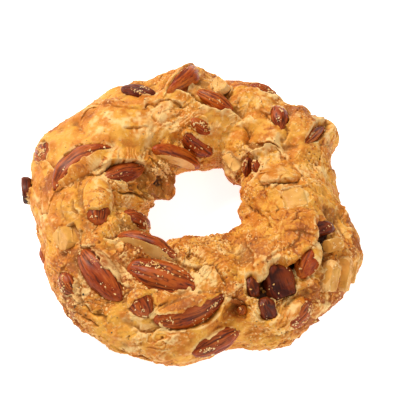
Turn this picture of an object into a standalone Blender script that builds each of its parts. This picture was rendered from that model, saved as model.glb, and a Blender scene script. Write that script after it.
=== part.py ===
"""A tarallo: a baked ring of two twisted strands of lard dough, studded with almonds.

The ring lies flat on its baked underside, which touches z = 0, with the hole on the Z axis.
Every place on it is named by two angles in degrees:
  around  the angle about the hole, counter-clockwise from +X as seen from above
  over    the angle about the strand, 0 on the outer side, 90 on top, 180 in the hole, 270 below
Lengths are written in millimetres and become metres when a mesh is made.
"""

from __future__ import annotations

import math
from dataclasses import dataclass
from enum import Enum

import bmesh
import bpy
import numpy as np
from mathutils import Matrix, Vector

MM = 0.001

# How finely the dough is laid out before it is thinned, and how many triangles it keeps.
STEPS_AROUND = 240
STEPS_OVER = 72
DOUGH_TRIANGLES = 4300

# Linear red, green and blue of the golden crust.
DOUGH_COLOUR = (0.75, 0.36, 0.085)

# Roundness of one almond, and the half length in millimetres under which it gets fewer rings.
ALMOND_SIDES = 8
ALMOND_RINGS = 6
SMALL_ALMOND_RINGS = 5
SMALL_ALMOND = 4.2

# Clear space between an almond and the dough that holds it.
ALMOND_GAP = 0.34

# The underside: how high the middle of the strand stands, as a share of its half height, and
# the skin of dough at the bottom that has settled flat on the baking sheet.
SEAT_SHARE = 0.92
SETTLED = 0.7
SEAT_TOLERANCE = 0.2

# From the point that the angles are taken about to the middle of the ring's outline.
MIDDLE_OF_OUTLINE = (0.25, -1.8)

# Thickness of the dough drawn over the hidden part of an almond, and how far the dough stays
# below the face of an almond where it shows.
COVER = 1.1
TUCK = 0.9


@dataclass(frozen=True)
class Station:
    """The strand's size at one place around the ring, in millimetres."""

    around: float
    ring_radius: float
    half_width: float
    half_height: float


STATIONS = (
    Station(0, 32.6, 16.1, 14.5),
    Station(15, 33.2, 16.2, 14.0),
    Station(30, 36.8, 17.3, 14.5),
    Station(45, 33.9, 15.9, 14.5),
    Station(60, 37.1, 15.9, 14.0),
    Station(75, 34.1, 15.9, 14.0),
    Station(90, 34.8, 17.9, 14.5),
    Station(105, 33.3, 17.7, 14.0),
    Station(120, 32.3, 20.0, 14.0),
    Station(135, 32.4, 21.2, 14.5),
    Station(150, 33.2, 21.3, 14.5),
    Station(165, 33.9, 20.0, 14.5),
    Station(180, 31.9, 19.0, 14.5),
    Station(195, 34.4, 14.8, 14.5),
    Station(210, 32.4, 17.5, 14.5),
    Station(225, 35.6, 18.4, 14.5),
    Station(240, 36.4, 18.4, 14.5),
    Station(255, 35.4, 20.1, 15.0),
    Station(270, 36.2, 20.8, 15.0),
    Station(285, 33.6, 18.0, 15.0),
    Station(300, 37.9, 21.0, 15.0),
    Station(315, 37.8, 18.7, 15.0),
    Station(330, 38.5, 19.1, 15.0),
    Station(345, 36.2, 18.7, 14.5),
)


class Form(Enum):
    """What a stroke does to the dough along its path."""

    RIDGE = "ridge"
    GROOVE = "groove"
    LEDGE = "ledge"


@dataclass(frozen=True)
class Stroke:
    """A ridge, a groove or a ledge drawn along a path of (around, over) places.

    A ledge stands up on the left of its path, seen from outside and looking along it, leans
    out over the right side by `lean`, and has a groove of `dip` along its foot.
    """

    form: Form
    path: tuple[tuple[float, float], ...]
    height: float
    width: float
    dip: float = 0.0
    lean: float = 0.0


@dataclass(frozen=True)
class Mound:
    """A lump (or, with a negative height, a hollow) about one (around, over) place."""

    centre: tuple[float, float]
    height: float
    along: float
    across: float
    turn: float = 0.0


STROKES = (
    # The two long valleys between the twisted strands.
    Stroke(Form.GROOVE, ((168, -30), (150, 5), (128, 40), (105, 72)), 1.6, 5.0),
    Stroke(Form.GROOVE, ((56, 116), (34, 139), (10, 168), (345, 205)), 1.4, 4.5),
    Stroke(Form.GROOVE, ((352, 22), (344, 45), (334, 66)), 1.4, 4.5),
    Stroke(Form.GROOVE, ((262, 128), (240, 150), (215, 182), (190, 215)), 1.4, 4.5),
    # The near strand lies over the far one at the lower right, above a deep crevice.
    Stroke(
        Form.LEDGE,
        ((298, 85), (304, 81), (310, 81), (315, 76), (320, 74), (329, 74), (336, 76), (342, 84)),
        3.0, 9.0, 4.4, 2.2,
    ),
    Stroke(Form.RIDGE, ((321, 42), (316, 45), (311, 50), (306, 46), (302, 38), (296, 38)), 1.6, 3.4),
    # The ridge of the upper strand and the valley behind it.
    Stroke(
        Form.LEDGE,
        ((56, 113), (64, 108), (73, 107), (79, 105), (86, 101), (91, 92), (105, 74)),
        2.0, 7.0, 2.4, 0.6,
    ),
    Stroke(Form.GROOVE, ((76, 46), (72, 70), (66, 91), (61, 106), (54, 116)), 1.8, 2.8),
    Stroke(
        Form.LEDGE, ((28, 109), (31, 119), (35, 130), (43, 128), (50, 121), (56, 112)), 1.2, 4.0, 1.4, 0.3
    ),
    Stroke(Form.RIDGE, ((55, 124), (46, 133), (36, 135), (32, 128), (28, 110)), 0.9, 2.4),
    Stroke(Form.GROOVE, ((26, 102), (18, 95), (14, 88), (12, 78)), 1.0, 2.2),
    # Folds and shelves on the inner left side.
    Stroke(Form.LEDGE, ((172, 105), (164, 113), (151, 129), (147, 137)), 2.2, 6.0, 3.2, 1.0),
    Stroke(Form.LEDGE, ((148, 150), (166, 136), (178, 112)), 1.0, 4.0, 0.6, 0.2),
    Stroke(Form.GROOVE, ((152, 99), (149, 111), (138, 121), (114, 141)), 0.9, 2.2),
    Stroke(Form.LEDGE, ((188, 116), (186, 136), (180, 160)), 0.9, 5.0, 0.8, 0.2),
    # Soft valley and fold lines of the smooth upper left strand.
    Stroke(Form.GROOVE, ((144, 49), (149, 67), (152, 86)), 0.9, 3.0),
    Stroke(Form.LEDGE, ((98, 96), (110, 87), (115, 88), (112, 112)), 0.8, 5.0, 0.7, 0.1),
    # The flat flake and the creases on the right strand.
    Stroke(Form.LEDGE, ((2, 128), (358, 117), (359, 101), (358, 90), (1, 84)), 1.1, 5.0, 0.9, 0.5),
    Stroke(Form.GROOVE, ((351, 150), (340, 147), (334, 131), (331, 119)), 1.2, 2.6),
    Stroke(Form.GROOVE, ((24, 43), (22, 66)), 0.9, 2.2),
    Stroke(Form.GROOVE, ((45, 51), (38, 69)), 1.2, 2.2),
    # The lower side: the lip over the curved almond, the layered folds at the lower left and
    # the rim of the small crater.
    Stroke(Form.RIDGE, ((272, 42), (278, 45), (282, 51), (285, 58)), 0.9, 2.0),
    Stroke(Form.LEDGE, ((256, 130), (263, 110), (270, 101), (278, 98)), 1.2, 5.0, 0.8, 0.3),
    Stroke(Form.RIDGE, ((248, 50), (252, 46), (257, 47)), 0.7, 1.8),
    Stroke(Form.LEDGE, ((243, 26), (240, 29), (233, 30), (227, 35)), 1.1, 4.0, 1.0, 0.4),
    Stroke(Form.LEDGE, ((240, 18), (231, 20), (226, 26)), 1.0, 4.0, 0.8, 0.3),
    Stroke(
        Form.RIDGE,
        (
            (287, 60), (290, 61), (293, 56), (294, 46), (292, 38),
            (287, 33), (283, 37), (281, 48), (284, 58), (287, 60),
        ),
        1.0, 1.7,
    ),
    Stroke(Form.GROOVE, ((320, 46), (320, 27), (323, 12)), 1.1, 2.0),
    Stroke(Form.GROOVE, ((315, 38), (313, 24)), 0.8, 1.8),
    # Stretch lines down the outer left side and round the back.
    Stroke(Form.GROOVE, ((196, 70), (192, 45), (190, 20), (189, 0)), 0.6, 2.0),
    Stroke(Form.GROOVE, ((205, 44), (202, 22), (200, 0)), 0.6, 2.0),
    Stroke(Form.GROOVE, ((120, 8), (98, 15), (80, 8), (60, 2)), 1.0, 3.0),
    Stroke(Form.GROOVE, ((18, 10), (8, -5), (352, -10)), 0.9, 3.0),
)

MOUNDS = (
    # Lumps on the outline.
    Mound((42, 34), 2.0, 4.5, 5.5),
    Mound((29, 14), 2.6, 5.0, 8.0),
    Mound((30, 66), 1.6, 5.0, 4.5),
    Mound((89, 48), 1.6, 4.0, 5.0),
    Mound((339, 8), 2.0, 5.0, 6.0),
    Mound((318, 2), 1.6, 6.0, 6.0),
    Mound((160, 22), 1.4, 6.0, 7.0),
    Mound((246, 6), 1.4, 7.0, 5.0),
    Mound((262, 2), 1.2, 6.0, 5.0),
    Mound((208, 8), 0.8, 5.0, 7.0),
    # Lumps along the hole.
    Mound((134, 186), 1.8, 4.0, 6.0),
    Mound((350, 190), 1.2, 3.5, 6.0),
    Mound((328, 176), 1.2, 3.0, 5.0),
    Mound((270, 150), 1.2, 4.0, 5.0),
    # Hollows.
    Mound((44, 114), -2.0, 5.5, 5.5),
    Mound((24, 92), -1.8, 4.0, 3.2),
    Mound((170, 145), -2.2, 4.0, 5.0),
    Mound((347, 57), -2.4, 3.8, 3.8),
    Mound((288, 47), -2.4, 3.2, 3.4),
    Mound((301, 109), -1.0, 4.0, 3.5),
    Mound((306, 61), -4.4, 8.5, 6.5, -20.0),
    Mound((328, 60), -2.8, 7.0, 4.4, -25.0),
    Mound((22, -4), -2.0, 4.5, 8.0),
    Mound((96, 103), -0.8, 4.0, 4.5),
    # The dough falls away in front of the almond that shows its split face.
    Mound((243, 99), -2.6, 8.5, 3.4),
    # Broad swellings of the strands.
    Mound((344, 100), 1.0, 9.0, 8.0),
    Mound((134, 88), 0.9, 12.0, 9.0),
    Mound((60, 72), 0.9, 7.0, 7.0),
    Mound((283, 82), 0.8, 7.0, 7.0),
    Mound((197, 96), 0.9, 8.0, 4.5, 10.0),
)


@dataclass(frozen=True)
class Cut:
    """A flat break through an almond: its facing direction and its distance from the middle.

    The direction is given along the almond's length, side and outward axes; the distance is in
    millimetres along it.
    """

    facing: tuple[float, float, float]
    distance: float


@dataclass(frozen=True)
class Cover:
    """Dough drawn over one side of an almond.

    `toward` is the side that is covered, in degrees from the almond's length axis to its side
    axis, and `beyond` is how far from the middle the cover starts, as a share of the half size.
    """

    toward: float
    beyond: float


class Tone(Enum):
    """The colour of an almond's skin or flesh, as linear red, green and blue."""

    TOASTED = (0.30, 0.085, 0.030)
    DARK = (0.085, 0.018, 0.008)
    ORANGE = (0.42, 0.105, 0.022)
    BLANCHED = (0.76, 0.46, 0.15)


@dataclass(frozen=True)
class Almond:
    """One almond or broken piece of one, from its blunt end to its pointed end.

    Args:
        start: (around, over) place of the blunt end.
        end: (around, over) place of the pointed end.
        width: width across the almond.
        thickness: thickness through the almond.
        rise: how far the middle of the almond stands out from the line between its ends.
        roll: turn about its own length.
        cuts: the flat breaks.
        covers: the sides under dough.
        tone: its colour.
        pinch: how sharply the pointed end tapers.
        bend: how far its middle bows out to its own side.
    """

    name: str
    start: tuple[float, float]
    end: tuple[float, float]
    width: float
    thickness: float
    rise: float
    roll: float = 0.0
    cuts: tuple[Cut, ...] = ()
    covers: tuple[Cover, ...] = ()
    tone: Tone = Tone.TOASTED
    pinch: float = 0.35
    bend: float = 0.0


# The flat breaks of a broken chunk of almond.
CHUNK = (
    Cut((0.0, 0.75, 0.66), 1.6),
    Cut((0.1, -0.7, 0.7), 1.8),
    Cut((0.95, 0.0, 0.3), 3.4),
    Cut((-1.0, 0.1, 0.1), 3.6),
)


def slab(top: float, left: float, right: float, near: float, far: float) -> tuple[Cut, ...]:
    """Flat breaks on five sides, each at its distance from the middle."""
    return (
        Cut((0.05, 0.0, 1.0), top),
        Cut((0.1, 1.0, 0.1), left),
        Cut((-0.1, -1.0, 0.1), right),
        Cut((-1.0, 0.15, 0.1), near),
        Cut((1.0, 0.1, 0.1), far),
    )


ALMONDS = (
    Almond(
        "almond_crescent", (182, 54), (151, 105), 11.4, 8.0, 0.2, -8.0, (), (Cover(-90, 0.1),), bend=1.8
    ),
    Almond("almond_inner_left", (177, 106), (146, 139), 6.6, 6.2, -1.2, 10.0, tone=Tone.DARK, pinch=0.2),
    Almond("almond_left_top", (157.5, 18.5), (167, 47), 7.4, 5.5, -0.3),
    Almond(
        "almond_left_edge", (167, -2), (180, 2), 7.0, 5.5, 1.6, 0.0,
        (Cut((0.0, 0.0, 1.0), 1.5), Cut((1.0, 0.0, 0.0), 4.0), Cut((-1.0, 0.0, 0.0), 4.0)),
        tone=Tone.DARK,
    ),
    Almond(
        "almond_coated", (178, 98), (211, 90), 9.4, 7.0, -0.1, 0.0, (), (Cover(180, -0.32),), pinch=-0.05
    ),
    Almond("almond_chunk_left", (199.5, 55), (215.5, 57), 9.8, 7.4, 0.3, 12.0, CHUNK, tone=Tone.BLANCHED),
    Almond(
        "almond_large_left", (216, 64), (244, 57), 10.2, 7.4, -0.6, 0.0, (), (Cover(90, 0.55),),
        pinch=0.15,
    ),
    Almond("almond_lower_left", (217, 31), (227, 33), 6.4, 5.5, -0.3),
    Almond("almond_large_middle", (239, 91), (274, 81), 10.8, 6.8, -0.8, pinch=0.15),
    Almond(
        "almond_split", (222, 107), (264, 110), 8.4, 9.4, -0.5, 0.0, (Cut((0.0, -1.0, 0.0), 1.4),),
        pinch=0.2,
    ),
    Almond("almond_hole_edge", (209, 122), (218, 168), 7.2, 6.4, -0.2, tone=Tone.DARK, pinch=0.1),
    Almond(
        "almond_tip_down", (247, 69), (256, 49), 7.8, 6.8, -0.4, 0.0, (), (Cover(180, 0.15),), pinch=0.1
    ),
    Almond(
        "almond_long_crescent", (258, 47), (286, 63), 9.2, 7.4, -0.4, -14.0, (), (Cover(90, 0.35),),
        bend=-1.5,
    ),
    Almond("almond_bottom", (271.5, 16), (288, 22), 7.8, 6.0, -0.3, pinch=0.15),
    Almond("almond_in_crater", (291, 52), (288, 38), 3.4, 3.6, -1.5),
    Almond(
        "almond_crevice_upper", (299, 87), (296, 64), 5.4, 5.8, -3.0, 0.0, slab(2.2, 2.1, 2.2, 9.0, 3.3),
        tone=Tone.DARK, pinch=0.0,
    ),
    Almond(
        "almond_crevice_lower", (299, 62), (297.5, 38), 7.0, 6.2, -2.3, 0.0, slab(2.3, 2.8, 2.7, 4.0, 3.6),
        tone=Tone.DARK, pinch=0.0,
    ),
    Almond(
        "almond_crevice_block", (312, 86), (306, 48), 11.2, 8.4, -2.8, 0.0,
        slab(3.0, 4.8, 4.8, 9.0, 5.2), (Cover(180, 0.7),), Tone.DARK, 0.0,
    ),
    Almond(
        "almond_right_round", (330.5, 69), (315, 55.5), 7.6, 7.8, -1.0, 0.0, (), (Cover(180, 0.35),),
        pinch=0.1,
    ),
    Almond(
        "almond_right_dark", (333.5, 78), (343.5, 51), 5.6, 5.6, -1.8, 0.0, slab(2.1, 2.4, 2.4, 9.0, 4.2),
        tone=Tone.DARK, pinch=0.0,
    ),
    Almond(
        "almond_slice_inner", (328, 48.5), (320, 24), 5.4, 8.0, 1.0, 8.0, slab(2.4, 2.2, 2.2, 4.8, 5.0),
        tone=Tone.BLANCHED, pinch=-0.3,
    ),
    Almond(
        "almond_slice_outer", (333, 37), (325, 8), 4.8, 8.0, 0.9, 6.0, slab(2.4, 1.6, 1.6, 5.2, 5.4),
        tone=Tone.BLANCHED, pinch=-0.3,
    ),
    Almond(
        "almond_slice_edge", (338.4, 20), (331, -9), 4.0, 7.0, 0.5, 0.0, slab(1.8, 1.1, 1.1, 4.4, 4.6),
        tone=Tone.BLANCHED, pinch=-0.3,
    ),
    Almond(
        "almond_wedge_right", (337, 43), (330, 60), 4.8, 5.6, 0.7, 0.0, slab(1.8, 1.8, 1.8, 2.6, 2.8),
        tone=Tone.BLANCHED, pinch=-0.2,
    ),
    Almond("almond_lower_right", (302, 27), (314, 29), 7.6, 5.5, -0.3, 0.0, (), (Cover(90, 0.2),)),
    Almond(
        "almond_top_large", (102, 87), (88, 32), 8.0, 8.0, 1.4, 0.0, (), (Cover(90, 0.0),), Tone.ORANGE,
        0.3, -2.0,
    ),
    Almond("almond_top_left", (119, 40), (107, 77), 5.6, 5.0, -0.4, tone=Tone.DARK),
    Almond("almond_top_band", (86, 83), (64, 104), 5.4, 5.5, -1.0, tone=Tone.ORANGE, pinch=0.1),
    Almond("almond_top_right", (64, 52), (52, 40), 6.0, 5.0, -0.5),
    Almond("almond_chunk_top", (78, 56), (71, 76), 7.2, 6.5, 0.4, 0.0, CHUNK, tone=Tone.BLANCHED),
    Almond("almond_upright", (47, 57), (34, 91), 6.4, 6.4, -0.5, tone=Tone.ORANGE),
    Almond("almond_thin_right", (32, 22), (22, 73), 4.4, 5.0, -0.3, tone=Tone.ORANGE),
    Almond(
        "almond_inner_sliver", (89, 121), (73, 135), 4.8, 5.0, 0.1, tone=Tone.ORANGE, pinch=0.25
    ),
    Almond(
        "almond_inner_whole", (97, 133), (68, 171), 8.0, 6.2, -0.5, 0.0, (Cut((0.0, 1.0, 0.2), 2.7),),
        tone=Tone.DARK, pinch=0.2,
    ),
    Almond(
        "almond_split_inner", (129, 127), (80, 192), 6.4, 6.8, 1.2, -50.0, (Cut((0.0, 0.0, 1.0), 1.9),),
        tone=Tone.ORANGE, bend=1.0,
    ),
    Almond("almond_chunk_inner", (56, 157), (32, 170), 7.4, 6.4, 0.2, 0.0, CHUNK, tone=Tone.BLANCHED),
    Almond("almond_chip_a", (35, 140), (24, 160), 2.8, 4.0, -0.6),
    Almond("almond_chip_b", (29, 138), (16, 132), 3.2, 4.0, -0.8),
    Almond(
        "almond_slab_right", (356.4, 97), (340, 91), 10.0, 6.0, -0.7, 0.0, slab(1.7, 3.9, 3.5, 4.0, 3.8),
        tone=Tone.BLANCHED, pinch=-0.2,
    ),
    Almond("almond_back_left", (128, -10), (114, -2), 7.6, 6.2, -0.3),
    Almond("almond_back", (86, -8), (70, -18), 7.4, 6.2, -0.4),
    Almond("almond_outer_right", (11, -34), (-3, -26), 6.8, 5.8, -0.3),
    Almond("almond_outer_left", (206, -22), (194, -14), 6.6, 5.6, -0.4),
)


# Uneven swelling of the dough: size of the lumps, their height and the draw they come from.
SWELLS = ((13.0, 0.9, 11), (6.0, 0.6, 12), (3.2, 0.35, 13))


def periodic(values: np.ndarray, angle: np.ndarray) -> np.ndarray:
    """Smooth closed curve through evenly spaced values.

    Args:
        values: one value per station, evenly spaced round the circle.
        angle: degrees.

    Returns:
        The value at each angle.
    """
    count = len(values)
    place = (np.asarray(angle, float) % 360.0) / (360.0 / count)
    index = np.floor(place).astype(int) % count
    part = place - np.floor(place)
    before, here = values[(index - 1) % count], values[index]
    after, beyond = values[(index + 1) % count], values[(index + 2) % count]
    return 0.5 * (
        2 * here
        + (after - before) * part
        + (2 * before - 5 * here + 4 * after - beyond) * part**2
        + (3 * here - before - 3 * after + beyond) * part**3
    )


RADII = np.array([s.ring_radius for s in STATIONS])
WIDTHS = np.array([s.half_width for s in STATIONS])
HEIGHTS = np.array([s.half_height for s in STATIONS])


def place_on_ring(around: np.ndarray, over: np.ndarray) -> np.ndarray:
    """Points of the plain ring, in millimetres."""
    around, over = np.broadcast_arrays(np.asarray(around, float), np.asarray(over, float))
    half_height = periodic(HEIGHTS, around)
    reach = periodic(RADII, around) + periodic(WIDTHS, around) * np.cos(np.radians(over))
    level = half_height * (SEAT_SHARE + np.sin(np.radians(over)))
    turn = np.radians(around)
    return np.stack([reach * np.cos(turn), reach * np.sin(turn), level], -1)


def facing(around: np.ndarray, over: np.ndarray) -> np.ndarray:
    """Unit directions pointing out of the plain ring."""
    small = 0.5
    here = place_on_ring(around, over)
    along = place_on_ring(np.asarray(around, float) + small, over) - here
    across = place_on_ring(around, np.asarray(over, float) + small) - here
    out = np.cross(along, across)
    return out / np.linalg.norm(out, axis=-1, keepdims=True)


def soft_noise(points: np.ndarray, cell: float, draw: int) -> np.ndarray:
    """Smooth random values between -1 and 1 that vary over lengths of about one cell."""
    size = 32
    table = np.random.default_rng(draw).uniform(-1.0, 1.0, (size, size, size))
    place = points / cell
    corner = np.floor(place).astype(int)
    part = place - corner
    part = part * part * (3.0 - 2.0 * part)
    total = np.zeros(points.shape[:-1])
    for i in (0, 1):
        for j in (0, 1):
            for k in (0, 1):
                share = (
                    (part[..., 0] if i else 1 - part[..., 0])
                    * (part[..., 1] if j else 1 - part[..., 1])
                    * (part[..., 2] if k else 1 - part[..., 2])
                )
                total += share * table[
                    (corner[..., 0] + i) % size, (corner[..., 1] + j) % size, (corner[..., 2] + k) % size
                ]
    return total


def smooth_step(value: np.ndarray, low: float, high: float) -> np.ndarray:
    """A soft change from 0 to 1 between two values."""
    part = np.clip((value - low) / (high - low), 0.0, 1.0)
    return part * part * (3.0 - 2.0 * part)


def along_path(points: np.ndarray, path: tuple[tuple[float, float], ...]) -> tuple[np.ndarray, ...]:
    """Where points lie against a path drawn on the ring.

    Args:
        points: points of the plain ring.
        path: (around, over) places.

    Returns:
        The distance to the path, the distance to its left side (signed), the distance from its
        nearer end measured along it, and the leftward direction at the nearest place.
    """
    around = np.unwrap(np.radians([p[0] for p in path]))
    around = np.degrees(around)
    over = np.array([p[1] for p in path], float)
    steps = np.linspace(0, len(path) - 1, 4 * (len(path) - 1) + 1)
    around = np.interp(steps, range(len(path)), around)
    over = np.interp(steps, range(len(path)), over)
    spots = place_on_ring(around, over)
    out = facing(around, over)
    nearest = np.full(len(points), np.inf)
    left = np.zeros(len(points))
    run = np.zeros(len(points))
    leftward = np.zeros((len(points), 3))
    travelled = 0.0
    for first, second, up in zip(spots[:-1], spots[1:], out[:-1]):
        stretch = second - first
        length = float(np.linalg.norm(stretch))
        direction = stretch / length
        side = np.cross(up, direction)
        offset = points - first
        share = np.clip(offset @ direction, 0.0, length)
        gap = offset - share[:, None] * direction
        distance = np.linalg.norm(gap, axis=1)
        closer = distance < nearest
        nearest = np.where(closer, distance, nearest)
        left = np.where(closer, offset @ side, left)
        run = np.where(closer, travelled + share, run)
        leftward[closer] = side
        travelled += length
    return nearest, left, np.minimum(run, travelled - run), leftward


def stroke_relief(points: np.ndarray, stroke: Stroke) -> tuple[np.ndarray, np.ndarray]:
    """Height and sideways push that one stroke gives the dough."""
    distance, left, from_end, leftward = along_path(points, stroke.path)
    taper = smooth_step(from_end, -0.5, 2.5)
    if stroke.form is Form.LEDGE:
        edge = 0.5 + 0.5 * np.tanh(left / 0.5)
        high = edge * np.exp(-distance / stroke.width)
        foot = (1.0 - edge) * np.exp(-((distance / (0.35 * stroke.width)) ** 2))
        height = stroke.height * high - stroke.dip * foot
        push = -stroke.lean * edge * np.exp(-distance / (0.4 * stroke.width))
        return taper * height, (taper * push)[:, None] * leftward
    sign = 1.0 if stroke.form is Form.RIDGE else -1.0
    height = sign * stroke.height * np.exp(-((distance / stroke.width) ** 2))
    return taper * height, np.zeros((len(points), 3))


def mound_relief(points: np.ndarray, mound: Mound) -> np.ndarray:
    """Height that one mound gives the dough."""
    centre = place_on_ring(*mound.centre)
    out = facing(*mound.centre)
    along = np.cross(out, np.array([0.0, 0.0, 1.0]))
    along = -along / np.linalg.norm(along)
    across = np.cross(out, along)
    turn = math.radians(mound.turn)
    first = math.cos(turn) * along + math.sin(turn) * across
    second = math.cos(turn) * across - math.sin(turn) * along
    offset = points - centre
    share = np.sqrt(
        (offset @ first / mound.along) ** 2
        + (offset @ second / mound.across) ** 2
        + (offset @ out / 8.0) ** 2
    )
    return mound.height * np.exp(-(share**2.6))


class AlmondBody:
    """The shape of one almond: where it lies and how it swells, tapers and breaks."""

    def __init__(self, almond: Almond, grow: float = 0.0) -> None:
        """Place the almond.

        Args:
            almond: its description.
            grow: clearance added all round.
        """
        self.almond = almond
        self.grow = grow
        ends = [place_on_ring(*almond.start), place_on_ring(*almond.end)]
        middle_place = (
            0.5 * (almond.start[0] + almond.end[0]),
            0.5 * (almond.start[1] + almond.end[1]),
        )
        out = facing(*middle_place)
        length_axis = ends[1] - ends[0]
        self.half_length = 0.5 * float(np.linalg.norm(length_axis)) + grow
        length_axis = length_axis / np.linalg.norm(length_axis)
        out = out - length_axis * (out @ length_axis)
        out /= np.linalg.norm(out)
        side_axis = np.cross(out, length_axis)
        turn = math.radians(almond.roll)
        self.out_axis = math.cos(turn) * out + math.sin(turn) * side_axis
        self.side_axis = math.cos(turn) * side_axis - math.sin(turn) * out
        self.length_axis = length_axis
        self.half_width = 0.5 * almond.width + grow
        self.half_thickness = 0.5 * almond.thickness + grow
        self.centre = 0.5 * (ends[0] + ends[1]) + almond.rise * out

    def girth(self, share: np.ndarray) -> np.ndarray:
        """Width at a share of the half length, as a part of the full width."""
        rest = np.clip(1.0 - share**2, 0.0, 1.0)
        return rest ** (0.5 + self.almond.pinch * smooth_step(share, 0.0, 0.6))

    def local(self, points: np.ndarray) -> np.ndarray:
        """Points along the almond's own length, side and outward axes."""
        offset = points - self.centre
        return np.stack([offset @ self.length_axis, offset @ self.side_axis, offset @ self.out_axis], -1)

    def bow(self, along: np.ndarray) -> np.ndarray:
        """How far the almond's middle line lies to its side at a distance along it."""
        return self.almond.bend * (1.0 - np.clip(along / self.half_length, -1.0, 1.0) ** 2)

    def top(self, along: np.ndarray, beside: np.ndarray) -> np.ndarray:
        """Height of the almond's face over its middle plane."""
        girth = np.maximum(self.girth(along / self.half_length), 1e-3)
        spread = np.clip(1.0 - ((beside - self.bow(along)) / (self.half_width * girth)) ** 2, 0.0, 1.0)
        height = self.half_thickness * girth * np.sqrt(spread)
        for cut in self.almond.cuts:
            if cut.facing[2] > 0.05:
                plane = (cut.distance - cut.facing[0] * along - cut.facing[1] * beside) / cut.facing[2]
                height = np.minimum(height, np.maximum(plane, 0.0))
        return height

    def face_height(self, points: np.ndarray, out: np.ndarray) -> tuple[np.ndarray, ...]:
        """How far out along `out` the almond's face lies from each point.

        Returns:
            The distance, the share of the way from the almond's middle to its edge, and the
            place on its face as shares of its half sizes.
        """
        start = self.local(points)
        slope = np.stack([out @ self.length_axis, out @ self.side_axis, out @ self.out_axis], -1)
        steep = np.maximum(slope[:, 2], 0.35)
        reach = (0.0 - start[:, 2]) / steep
        for _ in range(4):
            along = start[:, 0] + reach * slope[:, 0]
            beside = start[:, 1] + reach * slope[:, 1]
            wanted = (self.top(along, beside) - start[:, 2]) / steep
            reach = 0.5 * (reach + wanted)
        along = start[:, 0] + reach * slope[:, 0]
        beside = (start[:, 1] + reach * slope[:, 1] - self.bow(along)) / self.half_width
        along = along / self.half_length
        girth = np.maximum(self.girth(along), 0.02)
        spread = np.sqrt(np.clip(1.0 - along**2, 0.0004, 1.0)) / girth
        share = np.sqrt(along**2 + (beside * np.minimum(spread, 3.0)) ** 2)
        share = np.where(np.abs(along) > 1.0, np.maximum(share, np.abs(along)), share)
        for cut in self.almond.cuts:
            if cut.facing[2] < 0.5:
                past = start + reach[:, None] * slope
                past = past @ (np.array(cut.facing) / np.linalg.norm(cut.facing)) - cut.distance
                share = np.maximum(share, 1.0 + past / (0.5 * self.half_width))
        return reach, share, np.stack([along, beside], -1)

    def placing(self) -> Matrix:
        """Turn and place of the almond in the ring, with its place in metres."""
        columns = (self.length_axis, self.side_axis, self.out_axis)
        turn = Matrix([[float(axis[row]) for axis in columns] for row in range(3)]).to_4x4()
        return Matrix.Translation(Vector(self.centre * MM)) @ turn

    def mesh(self) -> bmesh.types.BMesh:
        """The almond as a closed mesh about its own middle, in millimetres."""
        body = bmesh.new()
        rings = SMALL_ALMOND_RINGS if self.half_length < SMALL_ALMOND else ALMOND_RINGS
        bmesh.ops.create_uvsphere(body, u_segments=ALMOND_SIDES, v_segments=rings, radius=1.0)
        places = np.array([v.co[:] for v in body.verts])
        along = places[:, 2]
        ring = np.sqrt(np.clip(1.0 - along**2, 1e-9, 1.0))
        girth = self.girth(along)
        scale = np.where(np.abs(along) > 0.9999, 0.0, girth / ring)
        local = np.stack(
            [
                along * self.half_length,
                places[:, 0] * scale * self.half_width + self.bow(along * self.half_length),
                places[:, 1] * scale * self.half_thickness,
            ],
            -1,
        )
        for vert, spot in zip(body.verts, local):
            vert.co = Vector(spot)
        for cut in self.almond.cuts:
            normal = Vector(cut.facing).normalized()
            parts = bmesh.ops.bisect_plane(
                body,
                geom=body.verts[:] + body.edges[:] + body.faces[:],
                plane_co=normal * (cut.distance + self.grow),
                plane_no=normal,
                clear_outer=True,
            )
            rim = [g for g in parts["geom_cut"] if isinstance(g, bmesh.types.BMEdge)]
            if rim:
                bmesh.ops.edgenet_fill(body, edges=rim)
        bmesh.ops.remove_doubles(body, verts=body.verts[:], dist=0.02)
        bmesh.ops.triangulate(body, faces=body.faces[:])
        bmesh.ops.recalc_face_normals(body, faces=body.faces[:])
        return body


def dough_surface(around: np.ndarray, over: np.ndarray) -> np.ndarray:
    """Points of the dough's skin.

    Args:
        around: angle about the hole for each point.
        over: angle about the strand for each point.

    Returns:
        One point in millimetres for each pair of angles.
    """
    plain = place_on_ring(around, over)
    out = facing(around, over)
    height = np.zeros(len(plain))
    push = np.zeros_like(plain)
    for stroke in STROKES:
        lift, shift = stroke_relief(plain, stroke)
        height += lift
        push += shift
    for mound in MOUNDS:
        height += mound_relief(plain, mound)
    for cell, strength, draw in SWELLS:
        height += strength * soft_noise(plain, cell, draw)
    for almond in ALMONDS:
        body = AlmondBody(almond)
        near = np.linalg.norm(plain - body.centre, axis=1) < body.half_length + 8.0
        reach, share, spot = body.face_height(plain[near], out[near])
        shown = 1.0 - smooth_step(share, 0.72, 1.02)
        hidden = np.zeros(int(near.sum()))
        for cover in almond.covers:
            aim = math.radians(cover.toward)
            past = spot[:, 0] * math.cos(aim) + spot[:, 1] * math.sin(aim) - cover.beyond
            hidden = np.maximum(hidden, smooth_step(past, -0.06, 0.12))
        shown *= 1.0 - hidden
        over_face = hidden * (1.0 - smooth_step(share, 0.9, 1.35))
        level = height[near]
        level = level + shown * np.minimum(0.0, reach - TUCK - level)
        level = level + over_face * np.maximum(0.0, reach + COVER - level)
        height[near] = level
    skin = plain + height[:, None] * out + push
    skin[:, 2] = np.where(skin[:, 2] < SETTLED, 0.0, skin[:, 2])
    return skin


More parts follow.
